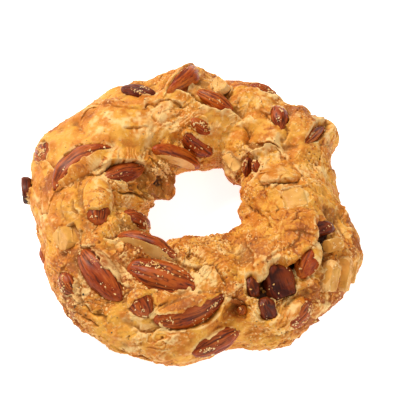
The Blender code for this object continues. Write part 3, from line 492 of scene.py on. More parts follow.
# Smaller features of the dough, each where the photograph shows it.
FINE_STROKES = (
    # The smooth upper left strand: a soft edge and a crease down its side, then folds inward.
    ledge(((132, 30), (131, 53), (128, 70), (124, 81), (118, 89)), 0.5, 3.0, 0.4),
    groove(((128, 24), (126, 52), (122, 70), (116, 85)), 0.5, 0.9),
    groove(((144, 49), (148, 66), (150, 74), (154, 85)), 0.5, 1.1),
    groove(((158, 60), (156, 76), (160, 90)), 0.4, 0.9),
    ledge(((118, 89), (114, 85), (110, 91), (106, 91), (102, 92), (98, 99), (93, 108)), 0.8, 2.5, 0.7),
    groove(((112, 97), (114, 109), (116, 117)), 0.6, 1.0),
    groove(((105, 127), (103, 140), (94, 154)), 0.7, 1.2),
    ridge(((121, 100), (124, 112), (122, 124)), 0.5, 1.4, pale=0.2),
    ledge(((138, 96), (130, 104), (120, 108)), 0.5, 2.2, 0.5),
    # Shelves and torn edges of the inner left side.
    ledge(((173, 77), (174, 88), (176, 98), (169, 111), (157, 122), (150, 129)), 0.8, 2.5, 0.8, 0.3),
    ledge(((200, 111), (188, 113), (178, 108)), 1.0, 3.0, 0.9, 0.2),
    ledge(((190, 79), (196, 81), (202, 82)), 0.7, 2.5, 0.5),
    # The thin sheet that hangs over a dark hollow, and the rope of dough below it.
    ledge(
        ((181, 166), (184, 157), (186, 143), (187, 131), (187, 120), (188, 110)),
        1.5, 4.0, 1.6, 0.6, 0.2,
    ),
    ledge(((176, 112), (173, 125), (169, 138), (166, 152)), 1.0, 2.0, 0.9, 0.5),
    ridge(((214, 89), (214, 102), (214, 120), (211, 138), (196, 170)), 0.9, 1.9, pale=0.2),
    groove(((216, 86), (220, 96), (222, 107), (226, 115)), 0.9, 0.6),
    ledge(((184, 134), (189, 136), (194, 150)), 0.5, 1.8, 0.5, 0.3, 0.2),
    ridge(((166, 104), (170, 112), (172, 120)), 0.7, 1.0, pale=0.3),
    # Folds that fan down the wall of the hole from under the dark almond.
    ridge(((150, 125), (148, 138), (149, 151), (151, 168)), 1.1, 1.3, pale=0.6),
    ledge(((136, 134), (133, 150), (127, 167), (124, 182)), 1.2, 2.2, 0.9, 0.3, 0.4),
    ridge(((156, 122), (160, 133), (168, 151)), 0.9, 1.2, pale=0.4),
    ledge(((175, 168), (182, 151), (182, 135), (181, 121)), 0.8, 1.8, 0.8, 0.3, 0.3),
    groove(((143, 150), (142, 160), (143, 172)), 1.4, 1.3),
    groove(((166, 146), (171, 155), (171, 168)), 1.1, 1.1),
    # The rim of the crater, and folded sheets at the far right.
    ledge(((294, 42), (293, 51), (289, 57), (285, 58), (282, 52)), 0.8, 2.0, 1.2, 0.5, 0.2),
    ledge(((50, 84), (46, 80), (38, 85), (31, 85)), 0.7, 2.6, 0.7, 0.4),
    ledge(((38, 122), (35, 115), (30, 109), (23, 99)), 1.0, 2.4, 0.9, 0.5, 0.2),
    ridge(((50, 121), (42, 125), (36, 129), (30, 124)), 0.9, 1.2, pale=0.4),
    ridge(((31, 110), (28, 117), (23, 123), (18, 130)), 0.8, 1.0, pale=0.3),
    ledge(((28, 110), (22, 101), (16, 95)), 0.8, 2.0, 0.7, 0.4),
    # The torn flap at the right, one edge of it lifted, and a seam above the thumb.
    ledge(
        ((7, 72), (2, 77), (358, 89), (356, 101), (358, 108), (358, 117), (0, 125)), 0.9, 2.4, 0.8,
        0.5, 0.2
    ),
    ledge(((350, 155), (340, 144), (334, 132), (329, 119), (326, 112)), 0.8, 2.4, 0.8, 0.4),
    # The outline of the almond that lies under a thin coat of dough.
    groove(((180, 104), (190, 108), (200, 108), (208, 107)), 0.7, 0.8),
    groove(((176, 84), (184, 83), (194, 86), (204, 92)), 0.6, 0.8),
    # Wrinkles of the outer left side.
    groove(((176, 34), (184, 33), (190, 31), (198, 29)), 0.45, 0.8),
    groove(((176, 43), (185, 43), (194, 41), (200, 39)), 0.45, 0.8),
    groove(((181, 63), (188, 59), (195, 55)), 0.5, 0.8),
    groove(((180, 22), (190, 20), (200, 19)), 0.5, 0.9),
    ledge(((186, 70), (194, 66), (200, 66)), 0.5, 2.0, 0.4),
    # The upper strand: its ridge, the valley behind it and the lumps of the outline.
    ridge(
        ((98, 82), (93, 89), (90, 96), (84, 103), (79, 105), (74, 106), (66, 108), (59, 112)), 0.8,
        1.3, pale=0.35
    ),
    groove(((74, 64), (68, 93), (62, 106)), 1.2, 1.0),
    groove(((59, 70), (56, 86), (52, 98)), 0.7, 1.0),
    ridge(((66, 72), (62, 86), (57, 100)), 0.6, 1.2),
    groove(((41, 59), (36, 71)), 0.9, 0.8),
    ridge(((52, 61), (52, 43), (48, 46)), 0.7, 1.4, pale=0.3),
    ledge(((48, 27), (42, 30), (39, 39), (38, 64)), 0.9, 2.4, 0.6),
    groove(((30, 40), (26, 52), (24, 66)), 0.8, 0.9),
    ridge(((22, 30), (18, 44), (16, 58)), 0.6, 1.2),
    # The star of folds over the basin of the upper right.
    ridge(((28, 105), (30, 121), (31, 130), (40, 134)), 0.8, 0.9, pale=0.6),
    groove(((28, 105), (30, 94), (33, 85), (36, 76)), 1.0, 0.9),
    groove(((28, 105), (24, 93), (22, 79)), 0.9, 0.9),
    groove(((28, 105), (26, 115), (23, 123), (18, 132)), 0.8, 0.8),
    ridge(((28, 105), (22, 100), (15, 86)), 0.6, 0.8, pale=0.3),
    ridge(((34, 100), (38, 92), (44, 84)), 0.6, 1.0, pale=0.3),
    ledge(((30, 121), (34, 131), (41, 129), (45, 127), (50, 126)), 0.8, 1.8, 0.7, pale=0.3),
    ridge(((26, 129), (22, 135), (16, 142), (4, 148)), 0.5, 0.6, pale=0.3),
    ridge(((23, 118), (18, 122), (12, 130), (4, 137)), 0.5, 0.6, pale=0.3),
    groove(((24, 124), (18, 130), (10, 137), (2, 142)), 0.5, 0.6),
    # The broken flake, its slab and the hollows beside it.
    ledge(
        ((15, 108), (12, 117), (5, 125), (358, 121), (357, 115), (358, 109), (358, 100), (358, 93), (0,
        85), (2, 79)), 0.9, 3.5, 0.8, 0.4
    ),
    ledge(((2, 79), (0, 76), (356, 76)), 0.6, 2.0, 0.6),
    ledge(((15, 108), (14, 98), (12, 88)), 0.4, 2.0, 0.4),
    groove(((10, 112), (8, 104), (9, 96)), 0.35, 0.7),
    ledge(((330, 113), (332, 122), (334, 130), (338, 139), (344, 150)), 1.1, 3.0, 1.2, 0.4),
    ridge(((350, 138), (343, 134), (338, 124)), 0.6, 1.1, pale=0.3),
    groove(((348, 76), (343, 72), (338, 70)), 0.8, 0.9),
    ridge(((352, 66), (346, 64), (340, 62)), 0.7, 1.0),
    groove(((354, 44), (346, 42), (340, 36)), 0.8, 1.0),
    ridge(((2, 60), (354, 58), (350, 48)), 0.7, 1.1),
    # The lip of the near strand over the crevice, and the crevice's own walls.
    ledge(
        ((298, 86), (300, 82), (303, 84), (306, 85), (312, 80), (316, 76), (324, 76), (330, 75), (335,
        75)), 0.7, 1.8, 0.9, 0.6
    ),
    ledge(((304, 92), (314, 90), (324, 86), (332, 86)), 0.4, 2.0, 0.4),
    ridge(((320, 40), (316, 45), (312, 49), (307, 48), (302, 53)), 0.9, 1.0, pale=0.3),
    ridge(((304, 39), (302, 32)), 0.8, 1.4),
    # Layers of the outer side, the crater and the lumps of the lower side.
    groove(((289, 26), (294, 21), (300, 17), (305, 16), (310, 15)), 0.7, 0.8),
    groove(((288, 35), (292, 29), (298, 25), (302, 22)), 0.6, 0.8),
    ridge(((286, 53), (290, 58), (292, 56), (294, 49), (292, 41), (290, 35)), 0.9, 0.9, pale=0.3),
    ledge(((286, 67), (286, 79), (284, 90), (280, 94), (274, 93)), 1.0, 2.6, 0.9, 0.2),
    ledge(((270, 70), (275, 69), (278, 64), (282, 66), (284, 70)), 0.8, 1.8, 0.7, 0.2),
    groove(((276, 126), (270, 119), (271, 111)), 0.8, 0.9),
    ridge(((288, 100), (290, 112), (296, 120)), 0.6, 1.2, pale=0.3),
    groove(((294, 72), (292, 84), (296, 96)), 0.9, 1.0),
    ridge(((289, 70), (288, 82), (290, 94)), 0.7, 1.2, pale=0.3),
    # The lower left: shingled folds and the dough walls between the big almonds.
    ledge(((224, 19), (228, 19), (232, 20), (236, 21), (240, 21)), 0.8, 1.8, 0.7, 0.3),
    ledge(((226, 30), (230, 31), (234, 31), (238, 31), (240, 31)), 0.8, 1.8, 0.7, 0.3),
    ledge(((226, 6), (230, 1), (234, -1), (238, 0)), 0.8, 1.8, 0.7, 0.3),
    groove(((240, 33), (242, 28)), 1.4, 0.9),
    ridge(((236, 92), (241, 84), (244, 75), (244, 66)), 1.0, 1.5, pale=0.2),
    ridge(((237, 49), (234, 48), (228, 51), (224, 54)), 0.7, 1.1),
    ledge(((228, 114), (232, 103), (234, 93)), 0.8, 1.6, 0.7),
    ridge(((262, 62), (266, 58), (276, 62)), 0.7, 1.1),
    ridge(((243, 20), (252, 22), (262, 30)), 0.6, 1.5),
    groove(((248, 12), (258, 8), (268, 4)), 0.7, 1.1),
)

FINE_MOUNDS = tuple(
    Mound(*row)
    for row in (
        # Hollows and lumps of the strands.
        ((287.5, 44), -1.2, 3.6, 4.0), ((126, 183), 1.1, 2.2, 2.6), ((134, 197), 0.9, 2.0, 2.2),
        ((105, 172), 0.9, 2.6, 2.2), ((96, 180), 0.8, 2.0, 2.4), ((333, 96), 1.3, 6.0, 5.0),
        ((271, 156), 0.9, 3.0, 3.0), ((294, 148), 0.9, 2.6, 3.0), ((303, 147), 0.9, 2.2, 3.0),
        ((317, 155), 1.0, 3.0, 3.0), ((299, 101), -0.8, 2.6, 2.2), ((347, 170), 0.9, 2.5, 3.0),
        ((48, 116), -0.9, 3.0, 2.6), ((344, 128), -0.8, 3.0, 2.6), ((108, 176), -1.8, 9.0, 4.0),
        ((180, 134), -1.6, 3.4, 4.6), ((147, 170), -1.5, 3.0, 3.2),
        # Torn lumps on the wall of the hole and along the lower edge.
        ((140, 152), 1.0, 2.6, 2.4), ((131, 166), 1.1, 2.4, 3.0), ((147, 184), 1.0, 2.4, 3.0),
        ((252, 9), 0.9, 2.4, 2.0), ((257, 11), 0.8, 1.8, 2.2), ((262, 9), 0.9, 2.2, 1.8),
    )
)

PATCHES = (
    # Orange, where the dough is smooth and baked through.
    Patch((46, 116), 5.0, toast=0.35, pale=-0.5),
    Patch((345, 127), 5.5, toast=0.35, pale=-0.5),
    Patch((333, 92), 7.0, toast=0.1, pale=-0.15),
    Patch((125, 60), 5.0, toast=0.22, pale=-0.3),
    Patch((178, 46), 5.0, toast=0.28, pale=-0.3),
    Patch((190, 57), 4.5, toast=0.25, pale=-0.3),
    Patch((68, 46), 5.0, toast=0.3, pale=-0.3),
    Patch((42, 45), 4.5, toast=0.25, pale=-0.2),
    Patch((88, 100), 4.0, toast=0.2, pale=-0.2),
    Patch((310, 20), 7.0, toast=0.2, pale=-0.2),
    Patch((296, 26), 6.0, toast=0.2, pale=-0.2),
    # Pale and floury, where layers flaked or folds stayed damp.
    Patch((348, 90), 4.5, toast=-0.2, pale=0.5),
    Patch((140, 82), 6.0, toast=-0.15, pale=0.45),
    Patch((130, 95), 5.0, toast=-0.1, pale=0.3),
    Patch((76, 56), 5.0, toast=-0.1, pale=0.4),
    Patch((50, 55), 3.5, toast=-0.1, pale=0.2),
    Patch((276, 84), 4.5, toast=-0.2, pale=0.5),
    Patch((29, 112), 6.0, toast=-0.1, pale=0.35),
    Patch((228, 42), 6.0, toast=-0.15, pale=0.4),
    Patch((208, 72), 5.0, toast=-0.1, pale=0.35),
    Patch((250, 30), 7.0, toast=-0.15, pale=0.2),
    Patch((262, 98), 5.0, toast=-0.1, pale=0.4),
    Patch((190, 96), 6.0, toast=-0.05, pale=0.1),
    # Painted shade on the torn walls and in the hollows, dark painted shadow in the crevice under
    # the near strand, and a few places among them that are paler or carry less painted shade.
    Patch((172, 160), 7.0, pale=-0.2, crease_shade=0.5, deep=0.2),
    Patch((157, 168), 8.0, pale=-0.3, crease_shade=0.8, deep=0.2),
    Patch((347, 57), 5.0, toast=0.15, crease_shade=0.3, deep=0.15),
    Patch((288, 46), 4.6, toast=0.35, pale=-0.2, crease_shade=-1.0, deep=-0.4),
    Patch((180, 132), 3.4, toast=0.1, pale=-0.2, crease_shade=0.4, deep=0.2),
    Patch((6, 101), 4.6, toast=-0.1, pale=0.15),
    Patch((348, 93), 3.6, toast=-0.15, pale=0.3),
    Patch((192, 50), 6.0, toast=-0.2, pale=0.35),
    Patch((152, 64), 6.0, toast=-0.1, pale=0.2, crease_shade=-0.6),
    Patch((306, 68), 7.5, deep=1.0),
    Patch((322, 66), 7.0, deep=1.0),
    Patch((336, 66), 5.0, deep=0.9),
    Patch((299, 52), 6.0, deep=0.8),
    Patch((308, 50), 5.0, toast=-0.2, pale=0.2, crease_shade=-0.6, deep=-0.4),
    # Broad tones: a little toast and painted shade over the upper left sheet and the strand at the
    # upper right, painted light on the strand between them, and painted shadow under the large top
    # almond.
    Patch((156, 68), 15.0, toast=0.06, crease_shade=0.15),
    Patch((34, 74), 14.0, toast=0.05, crease_shade=0.15),
    Patch((56, 90), 12.0, toast=-0.2, pale=0.12, crease_shade=-0.1),
    Patch((82, 76), 6.0, toast=0.1, crease_shade=0.6),
    Patch((112, 110), 12.0, toast=-0.05, pale=0.2, crease_shade=-0.25),
    # The wall of the hole: painted light at the right and near the far almonds, painted shade at
    # the left, and painted shadow under the split almond.
    Patch((46, 136), 16.0, toast=-0.3, pale=0.1, crease_shade=-0.5),
    Patch((70, 130), 11.0, toast=-0.3, pale=0.1, crease_shade=-0.45),
    Patch((346, 126), 16.0, toast=-0.15, crease_shade=-0.2),
    Patch((328, 150), 9.0, toast=-0.25, crease_shade=-0.3),
    Patch((191, 136), 13.0, toast=-0.3, pale=0.12, crease_shade=-0.75),
    Patch((160, 126), 8.0, toast=-0.1, pale=0.1, crease_shade=-0.5),
    Patch((130, 172), 11.0, toast=-0.2, pale=-0.05, crease_shade=0.6),
    Patch((147, 171), 7.0, toast=0.05, pale=-0.4, crease_shade=0.6, deep=0.25),
    Patch((217, 127), 7.0, toast=0.1, crease_shade=0.9),
    # The near strand: golden where it crosses over, with painted shade in the lap where the strand
    # bends over, and paler below the crater.
    Patch((324, 98), 13.0, toast=0.08, pale=-0.05),
    Patch((303, 116), 9.0, toast=0.1, pale=-0.1, crease_shade=0.2),
    Patch((262, 103), 6.0, toast=0.15, crease_shade=0.35),
    Patch((294, 33), 9.0, toast=-0.3, pale=0.12, crease_shade=-0.2),
    # The lower left: browned, and with painted shade, between the big almonds, and paler lower down.
    Patch((224, 56), 12.0, toast=0.25, pale=-0.15, crease_shade=0.2),
    Patch((203, 76), 8.0, crease_shade=0.3),
    Patch((270, 28), 8.0, toast=-0.15, crease_shade=-0.2),
    Patch((250, 13), 11.0, toast=-0.2, pale=0.05),
    Patch((228, 27), 8.0, pale=0.2),
    Patch((331, 68), 3.4, toast=-0.2, pale=0.5),
)

ROUGH_SPOTS = tuple(
    Roughness(*row)
    for row in (
        ((103, 172), 10.0, 1.8), ((6, 101), 5.5, 0.3), ((257, 9), 9.0, 1.5), ((190, 40), 26.0, 0.5),
        ((135, 62), 22.0, 0.35), ((150, 78), 12.0, 0.4), ((340, 90), 26.0, 1.1),
        ((20, 40), 20.0, 1.15), ((300, 40), 22.0, 1.4), ((175, 135), 14.0, 1.7),
        ((280, 130), 16.0, 1.5), ((60, 80), 18.0, 0.85), ((40, 102), 10.0, 0.5),
        ((336, 100), 13.0, 0.75), ((352, 115), 9.0, 0.6), ((318, 100), 10.0, 0.7),
        ((232, 80), 7.0, 0.6), ((112, 100), 8.0, 0.7), ((67, 122), 9.0, 0.7), ((277, 52), 7.0, 0.6),
        ((146, 117), 7.0, 0.35), ((200, 80), 8.0, 1.5), ((215, 100), 9.0, 1.5),
        ((215, 50), 7.0, 1.6), ((245, 102), 7.0, 1.6), ((140, 165), 12.0, 1.9),
        ((38, 154), 7.0, 1.6),
    )
)


def periodic(values: np.ndarray, angle: np.ndarray) -> np.ndarray:
    """Smooth closed curve through evenly spaced values.

    Args:
        values: one value per station, evenly spaced round the circle.
        angle: degrees.

    Returns:
        The value at each angle.
    """
    count = len(values)
    place = (np.asarray(angle, float) % 360.0) / (360.0 / count)
    index = np.floor(place).astype(int) % count
    part = place - np.floor(place)
    before, here = values[(index - 1) % count], values[index]
    after, beyond = values[(index + 1) % count], values[(index + 2) % count]
    return 0.5 * (
        2 * here
        + (after - before) * part
        + (2 * before - 5 * here + 4 * after - beyond) * part**2
        + (3 * here - before - 3 * after + beyond) * part**3
    )


RADII = np.array([s.ring_radius for s in STATIONS])
WIDTHS = np.array([s.half_width for s in STATIONS])
HEIGHTS = np.array([s.half_height for s in STATIONS])


def place_on_ring(around: np.ndarray, over: np.ndarray) -> np.ndarray:
    """Points of the plain ring, before any relief.

    Args:
        around: degrees around the hole.
        over: degrees over the strand.

    Returns:
        The points.
    """
    around, over = np.broadcast_arrays(np.asarray(around, float), np.asarray(over, float))
    half_height = periodic(HEIGHTS, around)
    reach = periodic(RADII, around) + periodic(WIDTHS, around) * np.cos(np.radians(over))
    level = half_height * (SEAT_SHARE + np.sin(np.radians(over)))
    turn = np.radians(around)
    return np.stack([reach * np.cos(turn), reach * np.sin(turn), level], -1)


def facing(around: np.ndarray, over: np.ndarray) -> np.ndarray:
    """Directions pointing out of the plain ring.

    Args:
        around: degrees around the hole.
        over: degrees over the strand.

    Returns:
        The directions, each with a length of one.
    """
    here = place_on_ring(around, over)
    along = place_on_ring(np.asarray(around, float) + SMALL_TURN, over) - here
    across = place_on_ring(around, np.asarray(over, float) + SMALL_TURN) - here
    return unit(np.cross(along, across))


def unit(vectors: np.ndarray) -> np.ndarray:
    """The same directions with a length of one."""
    return vectors / np.maximum(np.linalg.norm(vectors, axis=-1, keepdims=True), 1e-12)


def smooth_step(value: np.ndarray, low: float, high: float) -> np.ndarray:
    """A soft change from 0 to 1 between two values."""
    part = np.clip((value - low) / (high - low), 0.0, 1.0)
    return part * part * (3.0 - 2.0 * part)


def soft_noise(points: np.ndarray, cell: float, draw: int) -> np.ndarray:
    """Smooth random values between -1 and 1.

    Args:
        points: where they are wanted.
        cell: about how far apart they change.
        draw: the random draw.

    Returns:
        The value at each point.
    """
    size = 32
    table = np.random.default_rng(draw).uniform(-1.0, 1.0, (size, size, size))
    place = points / cell
    corner = np.floor(place).astype(int)
    part = place - corner
    part = part * part * (3.0 - 2.0 * part)
    corner %= size
    after = (corner + 1) % size
    total = np.zeros(points.shape[:-1])
    for i in (0, 1):
        for j in (0, 1):
            for k in (0, 1):
                share = (
                    (part[..., 0] if i else 1 - part[..., 0])
                    * (part[..., 1] if j else 1 - part[..., 1])
                    * (part[..., 2] if k else 1 - part[..., 2])
                )
                total += share * table[
                    (after if i else corner)[..., 0],
                    (after if j else corner)[..., 1],
                    (after if k else corner)[..., 2],
                ]
    return total


def tilted(points: np.ndarray) -> np.ndarray:
    """The points turned askew, so that a pattern's cells don't line up with the axes."""
    return points @ np.array(Matrix.Rotation(0.7, 3, Vector((0.5, 0.7, 0.4)))).T


def lump_distance(points: np.ndarray, cell: float, draw: int) -> np.ndarray:
    """Distance to the nearest of randomly strewn seeds.

    Args:
        points: where it is wanted.
        cell: the size of the cells that hold a seed each.
        draw: the random draw.

    Returns:
        The distance from each point, as a share of a cell.
    """
    size = 16
    seeds = np.random.default_rng(draw).uniform(0.1, 0.9, (size, size, size, 3))
    place = points / cell
    corner = np.floor(place).astype(int)
    nearest = np.full(len(points), 9.0)
    for step in np.ndindex(3, 3, 3):
        spot = corner + np.array(step) - 1
        wrapped = spot % size
        offset = place - spot - seeds[wrapped[:, 0], wrapped[:, 1], wrapped[:, 2]]
        nearest = np.minimum(nearest, (offset**2).sum(1))
    return np.sqrt(nearest)


def flakes(points: np.ndarray, cell: float, draw: int) -> tuple[np.ndarray, np.ndarray, np.ndarray]:
    """Thin flakes of dough lying over one another, each tilted its own way.

    Args:
        points: points of the plain ring.
        cell: about how wide one flake is.
        draw: the random draw.

    Returns:
        How far each point's flake stands up there, the flake's own shade from -1 to 1, and how
        far the point is inside the flake's edge, as a share of the cell.
    """
    size = 16
    random = np.random.default_rng(draw)
    seeds = random.uniform(0.1, 0.9, (size, size, size, 3))
    tilts = random.normal(0.0, 0.8, (size, size, size, 3))
    shades = random.uniform(-1.0, 1.0, (size, size, size))
    place = points / cell
    corner = np.floor(place).astype(int)
    nearest, second = np.full(len(points), 9.0), np.full(len(points), 9.0)
    lift, shade = np.zeros(len(points)), np.zeros(len(points))
    for step in np.ndindex(3, 3, 3):
        spot = corner + np.array(step) - 1
        at = tuple((spot % size).T)
        offset = place - spot - seeds[at]
        distance = np.sqrt((offset**2).sum(1))
        closer = distance < nearest
        second = np.where(closer, nearest, np.minimum(second, distance))
        nearest = np.where(closer, distance, nearest)
        lift = np.where(closer, (offset * tilts[at]).sum(1), lift)
        shade = np.where(closer, shades[at], shade)
    return lift, shade, second - nearest


def torn_layers(count: int, draw: int) -> list[Stroke]:
    """Short torn edges of dough, scattered over the seen side and mostly along the twist.

    Args:
        count: how many there are.
        draw: the random draw.

    Returns:
        The ledges.
    """
    chance = np.random.default_rng(draw)
    strokes = []
    for _ in range(count):
        around, over = float(chance.uniform(0.0, 360.0)), float(chance.uniform(-25.0, 195.0))
        heading = math.radians(chance.normal(18.0, 38.0) + (180.0 if chance.uniform() < 0.5 else 0.0))
        length = float(chance.uniform(1.2, 3.4))
        path = [(around, over)]
        for _ in range(3):
            heading += float(chance.normal(0.0, 0.38))
            around += DEGREES_AROUND * length * math.cos(heading)
            over += DEGREES_OVER * length * math.sin(heading)
            path.append((around, over))
        height = float(chance.uniform(0.3, 0.85))
        width = float(chance.uniform(0.9, 2.2))
        lean, pale = float(chance.uniform(0.1, 0.5)), float(chance.uniform(0.1, 0.4))
        strokes.append(ledge(tuple(path), height, width, 0.45 * height, lean, pale))
    return strokes


def along_path(points: np.ndarray, path: Path) -> tuple[np.ndarray, ...]:
    """Where points lie against a path drawn on the ring.

    Args:
        points: points of the plain ring.
        path: (around, over) places.

    Returns:
        The distance to the path, the distance to its left side (signed), the distance from its
        nearer end measured along it, and the leftward direction at the nearest place.
    """
    around = np.degrees(np.unwrap(np.radians([p[0] for p in path])))
    over = np.array([p[1] for p in path], float)
    steps = np.linspace(0, len(path) - 1, 4 * (len(path) - 1) + 1)
    around = np.interp(steps, range(len(path)), around)
    over = np.interp(steps, range(len(path)), over)
    spots = place_on_ring(around, over)
    out = facing(around, over)
    nearest = np.full(len(points), np.inf)
    left = np.zeros(len(points))
    run = np.zeros(len(points))
    leftward = np.zeros((len(points), 3))
    travelled = 0.0
    for first, second, up in zip(spots[:-1], spots[1:], out[:-1]):
        stretch = second - first
        length = float(np.linalg.norm(stretch))
        direction = stretch / length
        side = np.cross(up, direction)
        offset = points - first
        share = np.clip(offset @ direction, 0.0, length)
        gap = offset - share[:, None] * direction
        distance = np.linalg.norm(gap, axis=1)
        closer = distance < nearest
        nearest = np.where(closer, distance, nearest)
        left = np.where(closer, offset @ side, left)
        run = np.where(closer, travelled + share, run)
        leftward[closer] = side
        travelled += length
    return nearest, left, np.minimum(run, travelled - run), leftward


class AlmondBody:
    """The shape of one almond: where it lies and how it swells, tapers and breaks."""

    def __init__(self, almond: Almond) -> None:
        """Place the almond on the ring.

        Args:
            almond: which almond it is.
        """
        self.almond = almond
        ends = [place_on_ring(*almond.start), place_on_ring(*almond.end)]
        middle = (0.5 * (almond.start[0] + almond.end[0]), 0.5 * (almond.start[1] + almond.end[1]))
        out = facing(*middle)
        length_axis = ends[1] - ends[0]
        self.half_length = 0.5 * float(np.linalg.norm(length_axis))
        length_axis = length_axis / np.linalg.norm(length_axis)
        out = unit(out - length_axis * (out @ length_axis))
        side_axis = np.cross(out, length_axis)
        turn = math.radians(almond.roll)
        self.out_axis = math.cos(turn) * out + math.sin(turn) * side_axis
        self.side_axis = math.cos(turn) * side_axis - math.sin(turn) * out
        self.length_axis = length_axis
        self.half_width = 0.5 * almond.width
        self.half_thickness = 0.5 * almond.thickness
        self.centre = 0.5 * (ends[0] + ends[1]) + almond.rise * out

    def girth(self, share: np.ndarray) -> np.ndarray:
        """Width at a share of the half length, as a part of the full width."""
        rest = np.clip(1.0 - share**2, 0.0, 1.0)
        return rest ** (0.5 + self.almond.pinch * smooth_step(share, 0.0, 0.6))

    def bow(self, along: np.ndarray) -> np.ndarray:
        """How far the almond's middle line lies to its side at a distance along it."""
        return self.almond.bend * (1.0 - np.clip(along / self.half_length, -1.0, 1.0) ** 2)

    def top(self, along: np.ndarray, beside: np.ndarray) -> np.ndarray:
        """Height of the almond's face over its middle plane.

        Args:
            along: distance from its middle along its length.
            beside: distance from its middle to its side.

        Returns:
            The height, in millimetres.
        """
        girth = np.maximum(self.girth(along / self.half_length), 1e-3)
        spread = np.clip(1.0 - ((beside - self.bow(along)) / (self.half_width * girth)) ** 2, 0.0, 1.0)
        height = self.half_thickness * girth * np.sqrt(spread)
        for cut in self.almond.cuts:
            if cut.facing[2] > 0.05:
                plane = (cut.distance - cut.facing[0] * along - cut.facing[1] * beside) / cut.facing[2]
                height = np.minimum(height, np.maximum(plane, 0.0))
        return height

    def face_height(
        self, points: np.ndarray, out: np.ndarray
    ) -> tuple[np.ndarray, np.ndarray, np.ndarray]:
        """How far out the almond's face lies from points of the ring.

        Args:
            points: the points.
            out: which way is out at each of them.

        Returns:
            The distance, the share of the way from the almond's middle to its edge, and the
            place on its face as shares of its half sizes.
        """
        axes = np.stack([self.length_axis, self.side_axis, self.out_axis], 1)
        start = (points - self.centre) @ axes
        slope = out @ axes
        steep = np.maximum(slope[:, 2], 0.35)
        reach = -start[:, 2] / steep
        for _ in range(4):
            along = start[:, 0] + reach * slope[:, 0]
            beside = start[:, 1] + reach * slope[:, 1]
            wanted = (self.top(along, beside) - start[:, 2]) / steep
            reach = 0.5 * (reach + wanted)
        along = start[:, 0] + reach * slope[:, 0]
        beside = (start[:, 1] + reach * slope[:, 1] - self.bow(along)) / self.half_width
        along = along / self.half_length
        girth = np.maximum(self.girth(along), 0.02)
        spread = np.sqrt(np.clip(1.0 - along**2, 0.0004, 1.0)) / girth
        share = np.sqrt(along**2 + (beside * np.minimum(spread, 3.0)) ** 2)
        share = np.where(np.abs(along) > 1.0, np.maximum(share, np.abs(along)), share)
        for cut in self.almond.cuts:
            if cut.facing[2] < 0.5:
                past = start + reach[:, None] * slope
                past = past @ (np.array(cut.facing) / np.linalg.norm(cut.facing)) - cut.distance
                share = np.maximum(share, 1.0 + past / (0.5 * self.half_width))
        return reach, share, np.stack([along, beside], -1)

    def placing(self) -> Matrix:
        """Turn and place of the almond in the part.

        Returns:
            Its matrix, with the place in metres.
        """
        columns = (self.length_axis, self.side_axis, self.out_axis)
        turn = Matrix([[float(axis[row]) for axis in columns] for row in range(3)]).to_4x4()
        return Matrix.Translation(Vector((self.centre - MIDDLE_OF_OUTLINE) * MM)) @ turn


def from_hex(code: str) -> tuple[float, float, float, float]:
    """An sRGB hex colour as a linear one.

    Args:
        code: the colour, as in "#e2a03a".

    Returns:
        Its red, green, blue and alpha.
    """
    shares = [int(code[i : i + 2], 16) / 255.0 for i in (1, 3, 5)]
    linear = [s / 12.92 if s <= 0.04045 else ((s + 0.055) / 1.055) ** 2.4 for s in shares]
    return (*linear, 1.0)


def add_node(
    tree: bpy.types.NodeTree,
    kind: str,
    settings: dict[str, Any] | None = None,
    values: dict[str | int, Any] | None = None,
    links: dict[str | int, bpy.types.NodeSocket] | None = None,
) -> bpy.types.Node:
    """Add one shader node.

    Args:
        tree: the material's nodes.
        kind: the node's type.
        settings: its own properties by name.
        values: what its unlinked inputs are set to, by name or place.
        links: the outputs that feed its inputs, by name or place.

    Returns:
        The node.
    """
    node = tree.nodes.new(kind)
    for name, value in (settings or {}).items():
        setattr(node, name, value)
    for name, value in (values or {}).items():
        node.inputs[name].default_value = value
    for name, output in (links or {}).items():
        tree.links.new(output, node.inputs[name])
    return node


@dataclass(frozen=True)
class Layer:
    """A colour laid on where a value runs from `low` to `high`, up to a share of `most`."""

    colour: str
    value: bpy.types.NodeSocket
    low: float
    high: float
    most: float = 1.0


